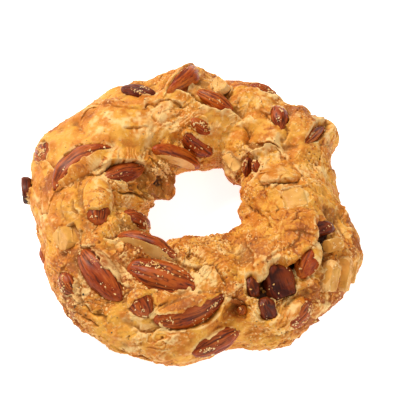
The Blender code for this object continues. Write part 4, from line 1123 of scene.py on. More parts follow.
class Nodes:
    """The shader nodes of one material, and the patterns and colours that are built of them."""

    def __init__(self, tree: bpy.types.NodeTree) -> None:
        """Start with where each point of the piece is."""
        self.tree = tree
        self.place = self.add("ShaderNodeTexCoord").outputs["Object"]

    def add(self, kind: str, *details: dict[Any, Any] | None) -> bpy.types.Node:
        """Add one node; the details are those of add_node."""
        return add_node(self.tree, kind, *details)

    def own(self, attribute: str) -> bpy.types.Node:
        """An attribute that the mesh brings along."""
        return self.add("ShaderNodeAttribute", {"attribute_name": attribute})

    def grain(self, size_mm: float, detail: float = 3.0) -> bpy.types.NodeSocket:
        """A cloudy pattern.

        Args:
            size_mm: about how wide its patches are.
            detail: how many finer patterns lie in it.

        Returns:
            The pattern, from 0 to 1.
        """
        values = {"Scale": 0.5 / (size_mm * MM), "Detail": detail, "Roughness": 0.6}
        return self.add("ShaderNodeTexNoise", None, values, {"Vector": self.place}).outputs["Fac"]

    def with_grit(self, pattern: bpy.types.NodeSocket, share: float) -> bpy.types.NodeSocket:
        """A pattern with a share of fine grit added to it."""
        links = {0: self.grain(0.2, 2.0), 2: pattern}
        return self.add("ShaderNodeMath", {"operation": "MULTIPLY_ADD"}, {1: share}, links).outputs[0]

    def bumped(
        self, strength: float, depth_mm: float, height: bpy.types.NodeSocket
    ) -> bpy.types.NodeSocket:
        """Directions of a surface that a pattern makes bumpy.

        Args:
            strength: how much the bumps count.
            depth_mm: how deep they are.
            height: the pattern.

        Returns:
            The directions.
        """
        values = {"Strength": strength, "Distance": depth_mm * MM}
        return self.add("ShaderNodeBump", None, values, {"Height": height}).outputs[0]

    def painted(self, ground: str, *layers: Layer) -> bpy.types.NodeSocket:
        """A ground colour with layers of colour over it.

        Args:
            ground: the ground colour.
            layers: the layers, from the lowest up.

        Returns:
            The colour that is seen.
        """
        seen = self.add("ShaderNodeRGB").outputs[0]
        seen.default_value = from_hex(ground)
        for layer in layers:
            share = self.add(
                "ShaderNodeMapRange", {"interpolation_type": "SMOOTHSTEP"},
                {"From Min": layer.low, "From Max": layer.high, "To Min": 0.0, "To Max": layer.most},
                {"Value": layer.value},
            )
            mix = self.add(
                "ShaderNodeMix", {"data_type": "RGBA"}, {7: from_hex(layer.colour)},
                {0: share.outputs[0], 6: seen},
            )
            seen = mix.outputs[2]
        return seen


class Finish:
    """What all finishes share: each is one shader of its own, made into a material."""

    name: str

    def make(self) -> bpy.types.Material:
        """Build the finish.

        Returns:
            Its material.
        """
        material = bpy.data.materials.new(self.name)
        material.use_nodes = True
        material.node_tree.nodes.clear()
        nodes = Nodes(material.node_tree)
        nodes.add("ShaderNodeOutputMaterial", None, None, {0: self.shader(nodes).outputs[0]})
        return material

    def shader(self, nodes: Nodes) -> bpy.types.Node:
        """The finish's own shader, which each kind of finish has to give."""
        raise NotImplementedError


@dataclass(frozen=True)
class BakedDough(Finish):
    """Baked lard dough: flour, lard and pepper, baked dry and brittle.

    It is golden where it was left open to the oven, orange brown on thin edges and lumps, and
    pale and floury in the folds and where it broke. Lard gives it a dull, oily sheen. Brown
    painted shade lies in its creases, and dark painted shadow in its deepest hollows.
    """

    name: str = "baked_lard_dough"
    golden: str = "#e2a03a"
    amber: str = "#cc781c"
    toasted: str = "#a05216"
    pale: str = "#efc682"
    # Brown painted shade for creases and hollows.
    crease_shade: str = "#9c601e"
    # Dark painted shadow for the deepest hollows.
    deep: str = "#42200a"
    speck: str = "#6b3f18"

    def shader(self, nodes: Nodes) -> bpy.types.Node:
        """Layers of colour that follow the crust's own bake: toast, flour, brown painted shade in
        creases and dark painted shadow in deep hollows.

        Args:
            nodes: the material's nodes.

        Returns:
            The shader.
        """
        bake = nodes.own("bake")
        parts = nodes.add("ShaderNodeSeparateColor", None, None, {0: bake.outputs["Color"]})
        toast, pale, crease_shade = (parts.outputs[i] for i in range(3))
        fine = nodes.grain(0.8, 4.0)
        # Specks of ground pepper and singed crumb, some 0.4 mm across.
        speck = nodes.add(
            "ShaderNodeTexVoronoi", {"feature": "F1"},
            {"Scale": 1.0 / (2.6 * MM), "Randomness": 1.0}, {"Vector": nodes.place},
        ).outputs["Distance"]
        base = nodes.painted(
            self.golden,
            Layer(self.amber, nodes.grain(3.0), 0.42, 0.62),
            Layer(self.amber, toast, 0.35, 0.75),
            Layer(self.toasted, toast, 0.62, 1.0, 0.9),
            Layer(self.pale, pale, 0.28, 1.0, 0.9),
            # Painted shade in creases and hollows.
            Layer(self.crease_shade, crease_shade, 0.1, 1.0, 0.8),
            Layer(self.toasted, fine, 0.62, 0.74, 0.55),
            Layer(self.pale, nodes.grain(0.5, 2.0), 0.58, 0.72, 0.55),
            # Painted shadow in the deepest hollows.
            Layer(self.deep, bake.outputs["Alpha"], 0.1, 0.9),
            Layer(self.speck, speck, 0.13, 0.07, 0.75),
        )
        relief = nodes.with_grit(nodes.grain(0.55, 4.0), 0.5)
        gloss = nodes.add(
            "ShaderNodeMapRange", None,
            {"From Min": 0.3, "From Max": 0.7, "To Min": 0.40, "To Max": 0.72}, {"Value": fine},
        ).outputs[0]
        return nodes.add(
            "ShaderNodeBsdfPrincipled", {"subsurface_method": "RANDOM_WALK"},
            {
                "Subsurface Weight": 0.06, "Subsurface Radius": (1.0, 0.6, 0.3),
                "Subsurface Scale": 0.8 * MM, "IOR": 1.45, "Specular IOR Level": 0.36,
            },
            {"Base Color": base, "Roughness": gloss, "Normal": nodes.bumped(0.85, 0.40, relief)},
        )


@dataclass(frozen=True)
class AlmondSkin(Finish):
    """The thin papery skin of a roasted almond: brown, furrowed lengthwise, with a faint gloss."""

    name: str
    ground: str
    furrow: str
    ridge: str
    dust: str = "#c79a6e"

    def shader(self, nodes: Nodes) -> bpy.types.Node:
        """Fibres that follow the almond's own attributes, painted shade in its furrows, and a little
        flour dust.

        Args:
            nodes: the material's nodes.

        Returns:
            The shader.
        """
        lie = nodes.own("lie").outputs["Vector"]
        furrow = nodes.own("furrow").outputs["Fac"]
        # The fibres run the length of the almond, about 0.35 mm apart.
        drawn = nodes.add("ShaderNodeMapping", None, {"Scale": (0.12, 1.0, 1.0)}, {"Vector": lie})
        fibre = nodes.add(
            "ShaderNodeTexNoise", None, {"Scale": 1.5, "Detail": 4.0, "Roughness": 0.65},
            {"Vector": drawn.outputs[0]},
        ).outputs["Fac"]
        base = nodes.painted(
            self.ground,
            Layer(self.ridge, nodes.grain(4.0), 0.35, 0.68, 0.7),
            Layer(self.ridge, fibre, 0.5, 0.72, 0.65),
            Layer(self.furrow, fibre, 0.48, 0.3, 0.75),
            # Painted shade in the furrows, darker where they are deeper.
            Layer(self.furrow, furrow, 0.35, 1.0, 0.85),
            Layer(self.dust, nodes.grain(0.5, 2.0), 0.70, 0.82, 0.2),
        )
        relief = nodes.with_grit(fibre, 0.25)
        return nodes.add(
            "ShaderNodeBsdfPrincipled", None,
            {"Roughness": 0.38, "IOR": 1.45, "Specular IOR Level": 0.25},
            {"Base Color": base, "Normal": nodes.bumped(0.5, 0.25, relief)},
        )


@dataclass(frozen=True)
class AlmondFlesh(Finish):
    """The flesh of a broken or blanched almond: dense, waxy, cream to amber where it baked."""

    name: str = "almond_flesh"
    cream: str = "#e2ab58"
    amber: str = "#cf8c38"
    edge: str = "#a8642a"

    def shader(self, nodes: Nodes) -> bpy.types.Node:
        """Soft clouds of amber in the cream, a fine tooth, and some light let in.

        Args:
            nodes: the material's nodes.

        Returns:
            The shader.
        """
        fine = nodes.grain(0.6)
        base = nodes.painted(
            self.cream,
            Layer(self.amber, nodes.grain(3.5), 0.38, 0.68),
            Layer(self.edge, fine, 0.6, 0.8, 0.5),
        )
        return nodes.add(
            "ShaderNodeBsdfPrincipled", {"subsurface_method": "RANDOM_WALK"},
            {
                "Roughness": 0.5, "IOR": 1.47, "Subsurface Weight": 0.10, "Specular IOR Level": 0.35,
                "Subsurface Radius": (1.0, 0.7, 0.4), "Subsurface Scale": 0.8 * MM,
            },
            {"Base Color": base, "Normal": nodes.bumped(0.3, 0.15, fine)},
        )


@dataclass(frozen=True)
class LooseGrain(Finish):
    """Grains stuck to the bake: pale crumbs of dough, or flakes of black pepper."""

    name: str
    light: str
    dark: str
    roughness: float = 0.7

    def shader(self, nodes: Nodes) -> bpy.types.Node:
        """Each grain a little lighter or darker than the next.

        Args:
            nodes: the material's nodes.

        Returns:
            The shader.
        """
        base = nodes.painted(self.light, Layer(self.dark, nodes.grain(1.2), 0.35, 0.65))
        normal = nodes.bumped(0.4, 0.1, nodes.grain(0.15, 1.0))
        return nodes.add(
            "ShaderNodeBsdfPrincipled", None, {"Roughness": self.roughness, "IOR": 1.45},
            {"Base Color": base, "Normal": normal},
        )


@dataclass(frozen=True)
class WhiteCard(Finish):
    """The table's matt white card, faintly lit from below so that no shadow on it is deep."""

    name: str = "matt_white_card"
    ground: str = "#f4f5f1"
    cloud: str = "#f8f9f6"
    glow_colour: str = "#eff5fd"
    glow: float = 0.80

    def shader(self, nodes: Nodes) -> bpy.types.Node:
        """Very faint clouds in the white.

        Args:
            nodes: the material's nodes.

        Returns:
            The shader.
        """
        base = nodes.painted(self.ground, Layer(self.cloud, nodes.grain(90.0), 0.3, 0.7))
        glow = {"Emission Strength": self.glow, "Emission Color": from_hex(self.glow_colour)}
        return nodes.add(
            "ShaderNodeBsdfPrincipled", None, {"Roughness": 0.9, **glow}, {"Base Color": base}
        )


SKINS = {
    Tone.TOASTED: AlmondSkin("almond_skin_toasted", "#90350c", "#3a0e03", "#c06020"),
    Tone.DARK: AlmondSkin("almond_skin_dark", "#5a1b08", "#200703", "#883a12"),
    Tone.ORANGE: AlmondSkin("almond_skin_orange", "#9c380a", "#551404", "#cc6f20"),
    Tone.BLANCHED: AlmondSkin("almond_skin_thin", "#d9a05a", "#b3763a", "#ecc07a"),
}


def smooth_mesh(name: str, body: bmesh.types.BMesh) -> bpy.types.Mesh:
    """A bmesh as a smooth-shaded mesh.

    Args:
        name: the mesh's name.
        body: the bmesh, which is used up.

    Returns:
        The mesh.
    """
    mesh = bpy.data.meshes.new(name)
    body.to_mesh(mesh)
    body.free()
    mesh.shade_smooth()
    return mesh


def link(name: str, data: bpy.types.ID) -> bpy.types.Object:
    """Put a mesh, a lamp or a camera in the scene.

    Args:
        name: the name it gets.
        data: the mesh, lamp or camera.

    Returns:
        The object that shows it.
    """
    made = bpy.data.objects.new(name, data)
    bpy.context.scene.collection.objects.link(made)
    return made


def place_piece(
    name: str, mesh: bpy.types.Mesh, materials: list[bpy.types.Material], node: str | None = None
) -> None:
    """Put a finished mesh in the scene.

    Args:
        name: the piece's name.
        mesh: its mesh, already in place and in metres.
        materials: its materials, in order.
        node: the CAD node it stands for.
    """
    for material in materials:
        mesh.materials.append(material)
    piece = link(name, mesh)
    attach(piece, "root")
    if node:
        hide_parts(node)
    LOG.info("%s: %d faces", name, len(mesh.polygons))


@dataclass
class Crust:
    """The dough: two twisted strands, torn and folded, with pockets where the almonds sit."""

    steps_around: int = STEPS_AROUND
    steps_seen: int = STEPS_SEEN
    steps_under: int = STEPS_UNDER
    relief: Relief = Relief()
    edge: float = 0.35
    fine_edge: float = 0.16
    torn_edges: int = 210

    def __post_init__(self) -> None:
        """Lay out the grid of places and start with a plain ring."""
        seen = np.linspace(SEEN_FROM, SEEN_TO, self.steps_seen + 1)
        under = np.linspace(SEEN_TO, SEEN_FROM + 360.0, self.steps_under + 1)[1:-1]
        self.over_rows = np.concatenate([seen, under])
        columns = np.arange(self.steps_around) * 360.0 / self.steps_around
        self.shape = (len(columns), len(self.over_rows))
        around, over = np.meshgrid(columns, self.over_rows, indexing="ij")
        self.around, self.over = around.ravel(), over.ravel()
        self.plain = place_on_ring(self.around, self.over)
        self.out = facing(self.around, self.over)
        self.height = np.zeros(len(self.plain))
        self.push = np.zeros_like(self.plain)
        # Shares of toast, of flour, of brown painted shade in creases and of dark painted shadow in
        # deep hollows.
        self.pale, self.toast, self.crease_shade, self.deep = np.zeros((4, len(self.plain)))
        self.rough = np.ones(len(self.plain))
        # Paths and lumps are looked up a little beside each point, so that none is drawn true.
        wander = [
            0.55 * soft_noise(self.plain, 2.6, broad) + 0.28 * soft_noise(self.plain, 0.9, fine)
            for broad, fine in ((31, 41), (32, 42), (33, 43))
        ]
        self.wandered = self.plain + np.stack(wander, -1)

    def near(self, spots: np.ndarray, margin: float) -> np.ndarray:
        """Which points lie near some spots, in a box round them that is grown by a margin."""
        low, high = spots.min(0) - margin, spots.max(0) + margin
        return ((self.plain > low) & (self.plain < high)).all(1)

    def add_stroke(self, stroke: Stroke, sharp: float) -> None:
        """Draw one stroke into the relief.

        Args:
            stroke: the stroke.
            sharp: how far the edge of a ledge is rounded, in millimetres.
        """
        steps = np.array(stroke.path, float)
        spots = place_on_ring(np.degrees(np.unwrap(np.radians(steps[:, 0]))), steps[:, 1])
        chosen = self.near(spots, 3.0 * stroke.width + 3.0)
        points = self.wandered[chosen]
        distance, left, from_end, leftward = along_path(points, stroke.path)
        taper = smooth_step(from_end, -0.5, 2.5)
        if stroke.form is Form.LEDGE:
            edge = 0.5 + 0.5 * np.tanh(left / sharp)
            high = edge * np.exp(-distance / stroke.width)
            foot = (1.0 - edge) * np.exp(-((distance / (0.35 * stroke.width)) ** 2))
            self.height[chosen] += taper * (stroke.height * high - stroke.dip * foot)
            push = -stroke.lean * edge * np.exp(-distance / (0.4 * stroke.width))
            self.push[chosen] += (taper * push)[:, None] * leftward
            lip = edge * np.exp(-((distance / 0.5) ** 2))
            self.toast[chosen] += 0.35 * taper * lip * min(stroke.height, 1.0)
            # Painted shade, and under tall ledges dark painted shadow, along the foot of the ledge
            # under its overhang.
            crease = (1.0 - edge) * np.exp(-((distance / 0.45) ** 2))
            self.crease_shade[chosen] += 0.7 * taper * crease * min(stroke.height, 1.0)
            self.deep[chosen] += 0.45 * taper * crease * np.clip(stroke.height - 0.3, 0.0, 0.8)
            self.pale[chosen] += stroke.pale * taper * high
        else:
            sign = 1.0 if stroke.form is Form.RIDGE else -1.0
            body = np.exp(-((distance / stroke.width) ** 2))
            self.height[chosen] += taper * sign * stroke.height * body
            self.pale[chosen] += stroke.pale * taper * body

    def add_mound(self, mound: Mound) -> None:
        """Raise or sink the crust about one place.

        Args:
            mound: the lump or hollow.
        """
        centre, out = place_on_ring(*mound.centre), facing(*mound.centre)
        along = -unit(np.cross(out, np.array([0.0, 0.0, 1.0])))
        across = np.cross(out, along)
        turn = math.radians(mound.turn)
        first = math.cos(turn) * along + math.sin(turn) * across
        second = math.cos(turn) * across - math.sin(turn) * along
        chosen = self.near(centre[None], 3.0 * max(mound.along, mound.across))
        offset = self.wandered[chosen] - centre
        share = np.sqrt(
            (offset @ first / mound.along) ** 2
            + (offset @ second / mound.across) ** 2
            + (offset @ out / 8.0) ** 2
        )
        self.height[chosen] += mound.height * np.exp(-(share**2.6))

    def spot_share(self, centre: Place, radius: float) -> np.ndarray:
        """How much each point belongs to a round spot on the crust."""
        distance = np.linalg.norm(self.wandered - place_on_ring(*centre), axis=1)
        return 1.0 - smooth_step(distance, 0.55 * radius, 1.25 * radius)

    def drawn_noise(self, cell: float, step: float, draw: int, slant: float) -> np.ndarray:
        """Noise drawn out into streaks that follow the strands.

        Args:
            cell: width of the streaks.
            step: a seventh of their length.
            draw: the random draw.
            slant: degrees from the ring's direction towards the twist.

        Returns:
            The value at each point.
        """
        along = unit(place_on_ring(self.around + SMALL_TURN, self.over) - self.plain)
        across = unit(np.cross(self.out, along))
        turn = np.radians(slant + 25.0 * soft_noise(self.plain, 16.0, draw + 7))[:, None]
        flow = np.cos(turn) * along + np.sin(turn) * across
        total = sum(soft_noise(tilted(self.plain + k * step * flow), cell, draw) for k in range(-3, 4))
        return total / 3.2

    def add_grain(self) -> None:
        """Swellings, streaks, brittle flakes, crags and crumb, from broad to fine."""
        for cell, strength, draw in SWELLS:
            self.height += strength * soft_noise(self.plain, cell, draw)
        for spot in ROUGH_SPOTS:
            self.rough += (spot.amount - 1.0) * self.spot_share(spot.centre, spot.radius)
        self.rough = np.clip(self.rough, 0.15, 2.5)
        self.height += self.relief.streaks * self.drawn_noise(2.4, 1.6, 51, 15.0)
        share = self.relief.fine_streaks * np.clip(self.rough, 0.3, 1.2)
        self.height += share * self.drawn_noise(0.9, 0.8, 52, 15.0)
        # Brittle layers: a slanted pattern cut into steps, each step a layer that flaked away.
        layers = 2.0 * self.drawn_noise(4.6, 1.8, 53, 20.0) + 0.2 * soft_noise(self.plain, 1.1, 54)
        level = np.floor(layers)
        part = layers - level
        steps = level + smooth_step(part, 0.86, 0.98)
        flaky = smooth_step(soft_noise(self.plain, 9.0, 55) + 0.35 * (self.rough - 1.0), -0.25, 0.35)
        self.height += self.relief.flaked_layers * flaky * (steps - layers + 0.4)
        self.pale += 0.35 * flaky * smooth_step(part, 0.84, 0.97)
        folds = 0.65 - 2.6 * np.abs(soft_noise(tilted(self.wandered), 5.5, 60))
        self.height += self.relief.folds * self.rough * folds
        crags = 0.6 - 2.4 * np.abs(soft_noise(tilted(self.wandered), 3.0, 56))
        self.height += self.relief.crags * self.rough * crags
        for cell, strength, draw in TORN_SHEETS:
            lift, shade, inside = flakes(tilted(self.wandered), cell, draw)
            torn = np.clip(0.5 + 1.4 * soft_noise(self.plain, 10.0, draw + 10), 0.0, 1.2)
            torn = torn * np.minimum(self.rough, 1.4)
            self.height += strength * torn * lift
            self.pale += 0.28 * torn * shade
            self.toast += 0.30 * torn * (1.0 - smooth_step(inside, 0.0, 0.08)) - 0.15 * torn * shade
        lumps = 0.5 - lump_distance(self.wandered, 1.5, 57)
        self.height += self.relief.lumps * self.rough * lumps
        grains = 0.5 - lump_distance(tilted(self.plain), 0.8, 63)
        grainy = np.clip(0.55 + 1.5 * soft_noise(self.plain, 5.0, 64), 0.1, 1.3) * self.rough
        self.height += self.relief.grains * grainy * grains
        self.pale += 0.45 * grainy * grains
        self.toast -= 0.3 * grainy * grains
        pits = lump_distance(tilted(self.plain), 3.4, 59)
        pit = (1.0 - smooth_step(pits, 0.05, 0.19)) * smooth_step(self.rough, 0.4, 1.0)
        self.height -= self.relief.pits * pit
        # Painted shade and shadow in the pits.
        self.crease_shade += 0.5 * pit
        self.deep += 0.3 * pit

    def seat_almond(self, body: AlmondBody) -> None:
        """Sink the crust under the bare part of an almond and draw it over the covered part.

        Args:
            body: the almond.
        """
        chosen = np.linalg.norm(self.plain - body.centre, axis=1) < body.half_length + 8.0
        plain = self.plain[chosen]
        reach, share, spot = body.face_height(plain, self.out[chosen])
        broad, fine = 0.08 * soft_noise(plain, 1.7, 61), 0.05 * soft_noise(plain, 0.7, 62)
        jag = broad + fine
        shown = 1.0 - smooth_step(share + jag, 0.86, 0.97)
        hidden = np.zeros(len(plain))
        for cover in body.almond.covers:
            aim = math.radians(cover.toward)
            past = spot[:, 0] * math.cos(aim) + spot[:, 1] * math.sin(aim) - cover.beyond
            hidden = np.maximum(hidden, smooth_step(past + 2.0 * broad + 0.7 * fine, -0.02, 0.06))
        shown *= 1.0 - hidden
        over_face = hidden * (1.0 - smooth_step(share, 0.9, 1.35))
        level = self.height[chosen]
        level = level + shown * np.minimum(0.0, reach - TUCK - level)
        level = level + over_face * np.maximum(0.0, reach + COVER - level)
        # Ragged lips of dough that lap over the rim here and there.
        lap = np.exp(-(((share + jag - 0.99) / 0.11) ** 2))
        lap = lap * smooth_step(soft_noise(plain, 3.6, 67), 0.05, 0.3)
        level = level + lap * np.clip(reach + 0.35 - level, 0.0, 1.6)
        self.height[chosen] = level
        # Painted shade along the almond's rim, where the dough meets it, with a little pale flour there
        # too.
        rim = np.exp(-(((share - 1.0) / 0.1) ** 2))
        self.crease_shade[chosen] += 0.25 * rim
        self.pale[chosen] += 0.3 * rim

    def blurred(self, values: np.ndarray, rounds: int) -> np.ndarray:
        """Values averaged with their neighbours.

        Args:
            values: one for each point.
            rounds: how often; each round reaches twice as far as the last.

        Returns:
            The averages.
        """
        grid = values.reshape(self.shape)
        for i in range(rounds):
            step = 2**i
            for axis in (0, 1):
                grid = 0.5 * grid + 0.25 * (np.roll(grid, step, axis) + np.roll(grid, -step, axis))
        return grid.ravel()

    def ease_walls(self) -> None:
        """Smooth the steep walls of pockets, where fine relief would stand out as flutes."""
        grid = self.height.reshape(self.shape)
        slopes = [np.roll(grid, -1, axis) - np.roll(grid, 1, axis) for axis in (0, 1)]
        steep = smooth_step(self.blurred(np.hypot(*slopes).ravel(), 2), 0.7, 1.4)
        self.height += steep * (self.blurred(self.height, 2) - self.height)

    def colour(self) -> None:
        """Work out each point's toast, flour and painted shade, much of it from how it stands
        against its surroundings.
        """
        crest = self.height - self.blurred(self.height, 4)
        broad = self.height - self.blurred(self.height, 6)
        clouds = {cell: soft_noise(self.plain, cell, draw) for cell, draw in CLOUDS}
        self.toast += 0.45 + 0.30 * clouds[9.0] + 0.18 * clouds[3.0]
        self.toast += 0.10 * np.clip(broad, -1.0, 1.5)
        fine = self.height - self.blurred(self.height, 2)
        self.pale += 0.10 + 0.35 * clouds[6.0] + 0.20 * clouds[1.6]
        # Paler and less toasted on crests of the fine relief: flour on them, and painted highlight.
        self.pale += 0.9 * np.clip(fine, -0.2, 0.3) + 0.20 * np.clip(crest, 0.0, 0.6)
        self.toast -= 1.0 * np.clip(fine, -0.3, 0.2)
        # Painted shade in hollows and creases, and more of it where the crust is broadly sunk.
        self.crease_shade += np.clip(-1.35 * crest, 0.0, 1.0) + np.clip(-0.22 * broad - 0.15, 0.0, 0.7)
        mottle = 1.0 + 0.9 * clouds[2.6] + 1.1 * clouds[0.9]
        mottle = np.clip(mottle, 0.0, 2.4)
        streak = self.drawn_noise(1.3, 1.0, 77, 18.0)
        self.pale += 0.35 * streak
        self.toast -= 0.15 * streak
        for patch in PATCHES:
            share = self.spot_share(patch.centre, patch.radius) * mottle
            self.toast += patch.toast * share
            self.pale += patch.pale * share
            self.crease_shade += patch.crease_shade * share
            # Dark painted shadow, only where the crust is sunk below its surroundings.
            self.deep += patch.deep * share * smooth_step(-broad, 0.5, 1.5)
        under = smooth_step(np.minimum(self.over % 360.0, 400.0), 215.0, 235.0) * (self.over < 345.0)
        self.toast += 0.12 * under
        self.pale -= 0.1 * under

    def skin(self) -> np.ndarray:
        """The finished crust.

        Returns:
            Its points, in the part's frame.
        """
        skin = self.plain + self.height[:, None] * self.out + self.push
        floor = 0.08 * (1.0 + soft_noise(self.plain, 1.5, 81))
        skin[:, 2] = np.where(skin[:, 2] < SETTLED, floor, skin[:, 2])
        return skin - MIDDLE_OF_OUTLINE

    def normals(self, skin: np.ndarray) -> np.ndarray:
        """Outward directions, taken over the whole ring so that no seam shows.

        Args:
            skin: the points of the finished crust.

        Returns:
            The direction at each of them.
        """
        grid = skin.reshape(*self.shape, 3)
        along = np.roll(grid, -1, 0) - np.roll(grid, 1, 0)
        across = np.roll(grid, -1, 1) - np.roll(grid, 1, 1)
        return unit(np.cross(along, across)).reshape(-1, 3)

    def sheet(
        self, name: str, columns: np.ndarray, rows: np.ndarray, skin: np.ndarray, normals: np.ndarray
    ) -> bpy.types.Mesh:
        """One piece of the crust as a mesh.

        Args:
            name: the mesh's name.
            columns: which steps around the ring it takes in, in order.
            rows: which steps over the strand it takes in, in order.
            skin: every point of the crust.
            normals: every outward direction.

        Returns:
            The mesh.
        """
        body = bmesh.new()
        bmesh.ops.create_grid(body, x_segments=len(columns) - 1, y_segments=len(rows) - 1, size=0.5)
        mesh = smooth_mesh(name, body)
        flat = np.zeros(len(mesh.vertices) * 3)
        mesh.vertices.foreach_get("co", flat)
        flat = flat.reshape(-1, 3)[:, :2]
        share = (flat - flat.min(0)) / (flat.max(0) - flat.min(0))
        i = columns[np.rint(share[:, 0] * (len(columns) - 1)).astype(int)] % self.shape[0]
        j = rows[np.rint(share[:, 1] * (len(rows) - 1)).astype(int)] % self.shape[1]
        index = i * self.shape[1] + j
        mesh.vertices.foreach_set("co", (skin[index] * MM).astype(np.float32).ravel())
        # The bake attribute holds toast, flour, brown painted shade in creases and dark painted shadow
        # in deep hollows.
        bake = mesh.attributes.new("bake", "FLOAT_COLOR", "POINT")
        shades = np.stack([self.toast, self.pale, self.crease_shade, self.deep], -1)[index]
        bake.data.foreach_set("color", np.clip(shades, 0.0, 1.0).astype(np.float32).ravel())
        mesh.update()
        mesh.normals_split_custom_set_from_vertices(normals[index].tolist())
        return mesh

    def build(self, bodies: list[AlmondBody], material: bpy.types.Material) -> None:
        """Shape the crust round the almonds and put its pieces in the scene.

        Args:
            bodies: the almonds.
            material: the crust's finish.
        """
        for stroke in STROKES:
            self.add_stroke(stroke, self.edge)
        for mound in MOUNDS:
            self.add_mound(mound)
        self.add_grain()
        for stroke in (*FINE_STROKES, *torn_layers(self.torn_edges, 68)):
            self.add_stroke(stroke, self.fine_edge)
        for mound in FINE_MOUNDS:
            self.add_mound(mound)
        for body in bodies:
            self.seat_almond(body)
        self.ease_walls()
        self.colour()
        skin = self.skin()
        normals = self.normals(skin)
        quarter = self.steps_around // len(SECTORS)
        first = self.steps_around // 16
        rows = np.arange(self.steps_seen + 1)
        for number, sector in enumerate(SECTORS):
            name = "crust_" + sector
            columns = first + number * quarter - quarter // 2 + np.arange(quarter + 1)
            place_piece(name, self.sheet(name, columns, rows, skin, normals), [material], "dough")
        name = "crust_underside"
        columns, rows = np.arange(self.steps_around + 1), np.arange(self.steps_seen, self.shape[1] + 1)
        place_piece(name, self.sheet(name, columns, rows, skin, normals), [material], "dough")


# The materials of an almond, in order.
SKIN, FLESH = 0, 1


def ball(sides: int, rings: int) -> bmesh.types.BMesh:
    """A ball of radius one whose faces come in the same order in every run.

    Args:
        sides: faces around it.
        rings: faces from pole to pole.

    Returns:
        The ball.
    """
    rough = bmesh.new()
    bmesh.ops.create_uvsphere(rough, u_segments=sides, v_segments=rings, radius=1.0)
    rough.verts.index_update()
    loops = [[vert.index for vert in face.verts] for face in rough.faces]
    starts = [loop.index(min(loop)) for loop in loops]
    made = bmesh.new()
    verts = [made.verts.new(vert.co) for vert in rough.verts]
    for loop in sorted(loop[start:] + loop[:start] for loop, start in zip(loops, starts)):
        made.faces.new([verts[index] for index in loop])
    rough.free()
    return made


def flesh_faces(body: bmesh.types.BMesh) -> list[bmesh.types.BMFace]:
    """The faces where an almond is broken."""
    return [face for face in body.faces if face.material_index == FLESH]


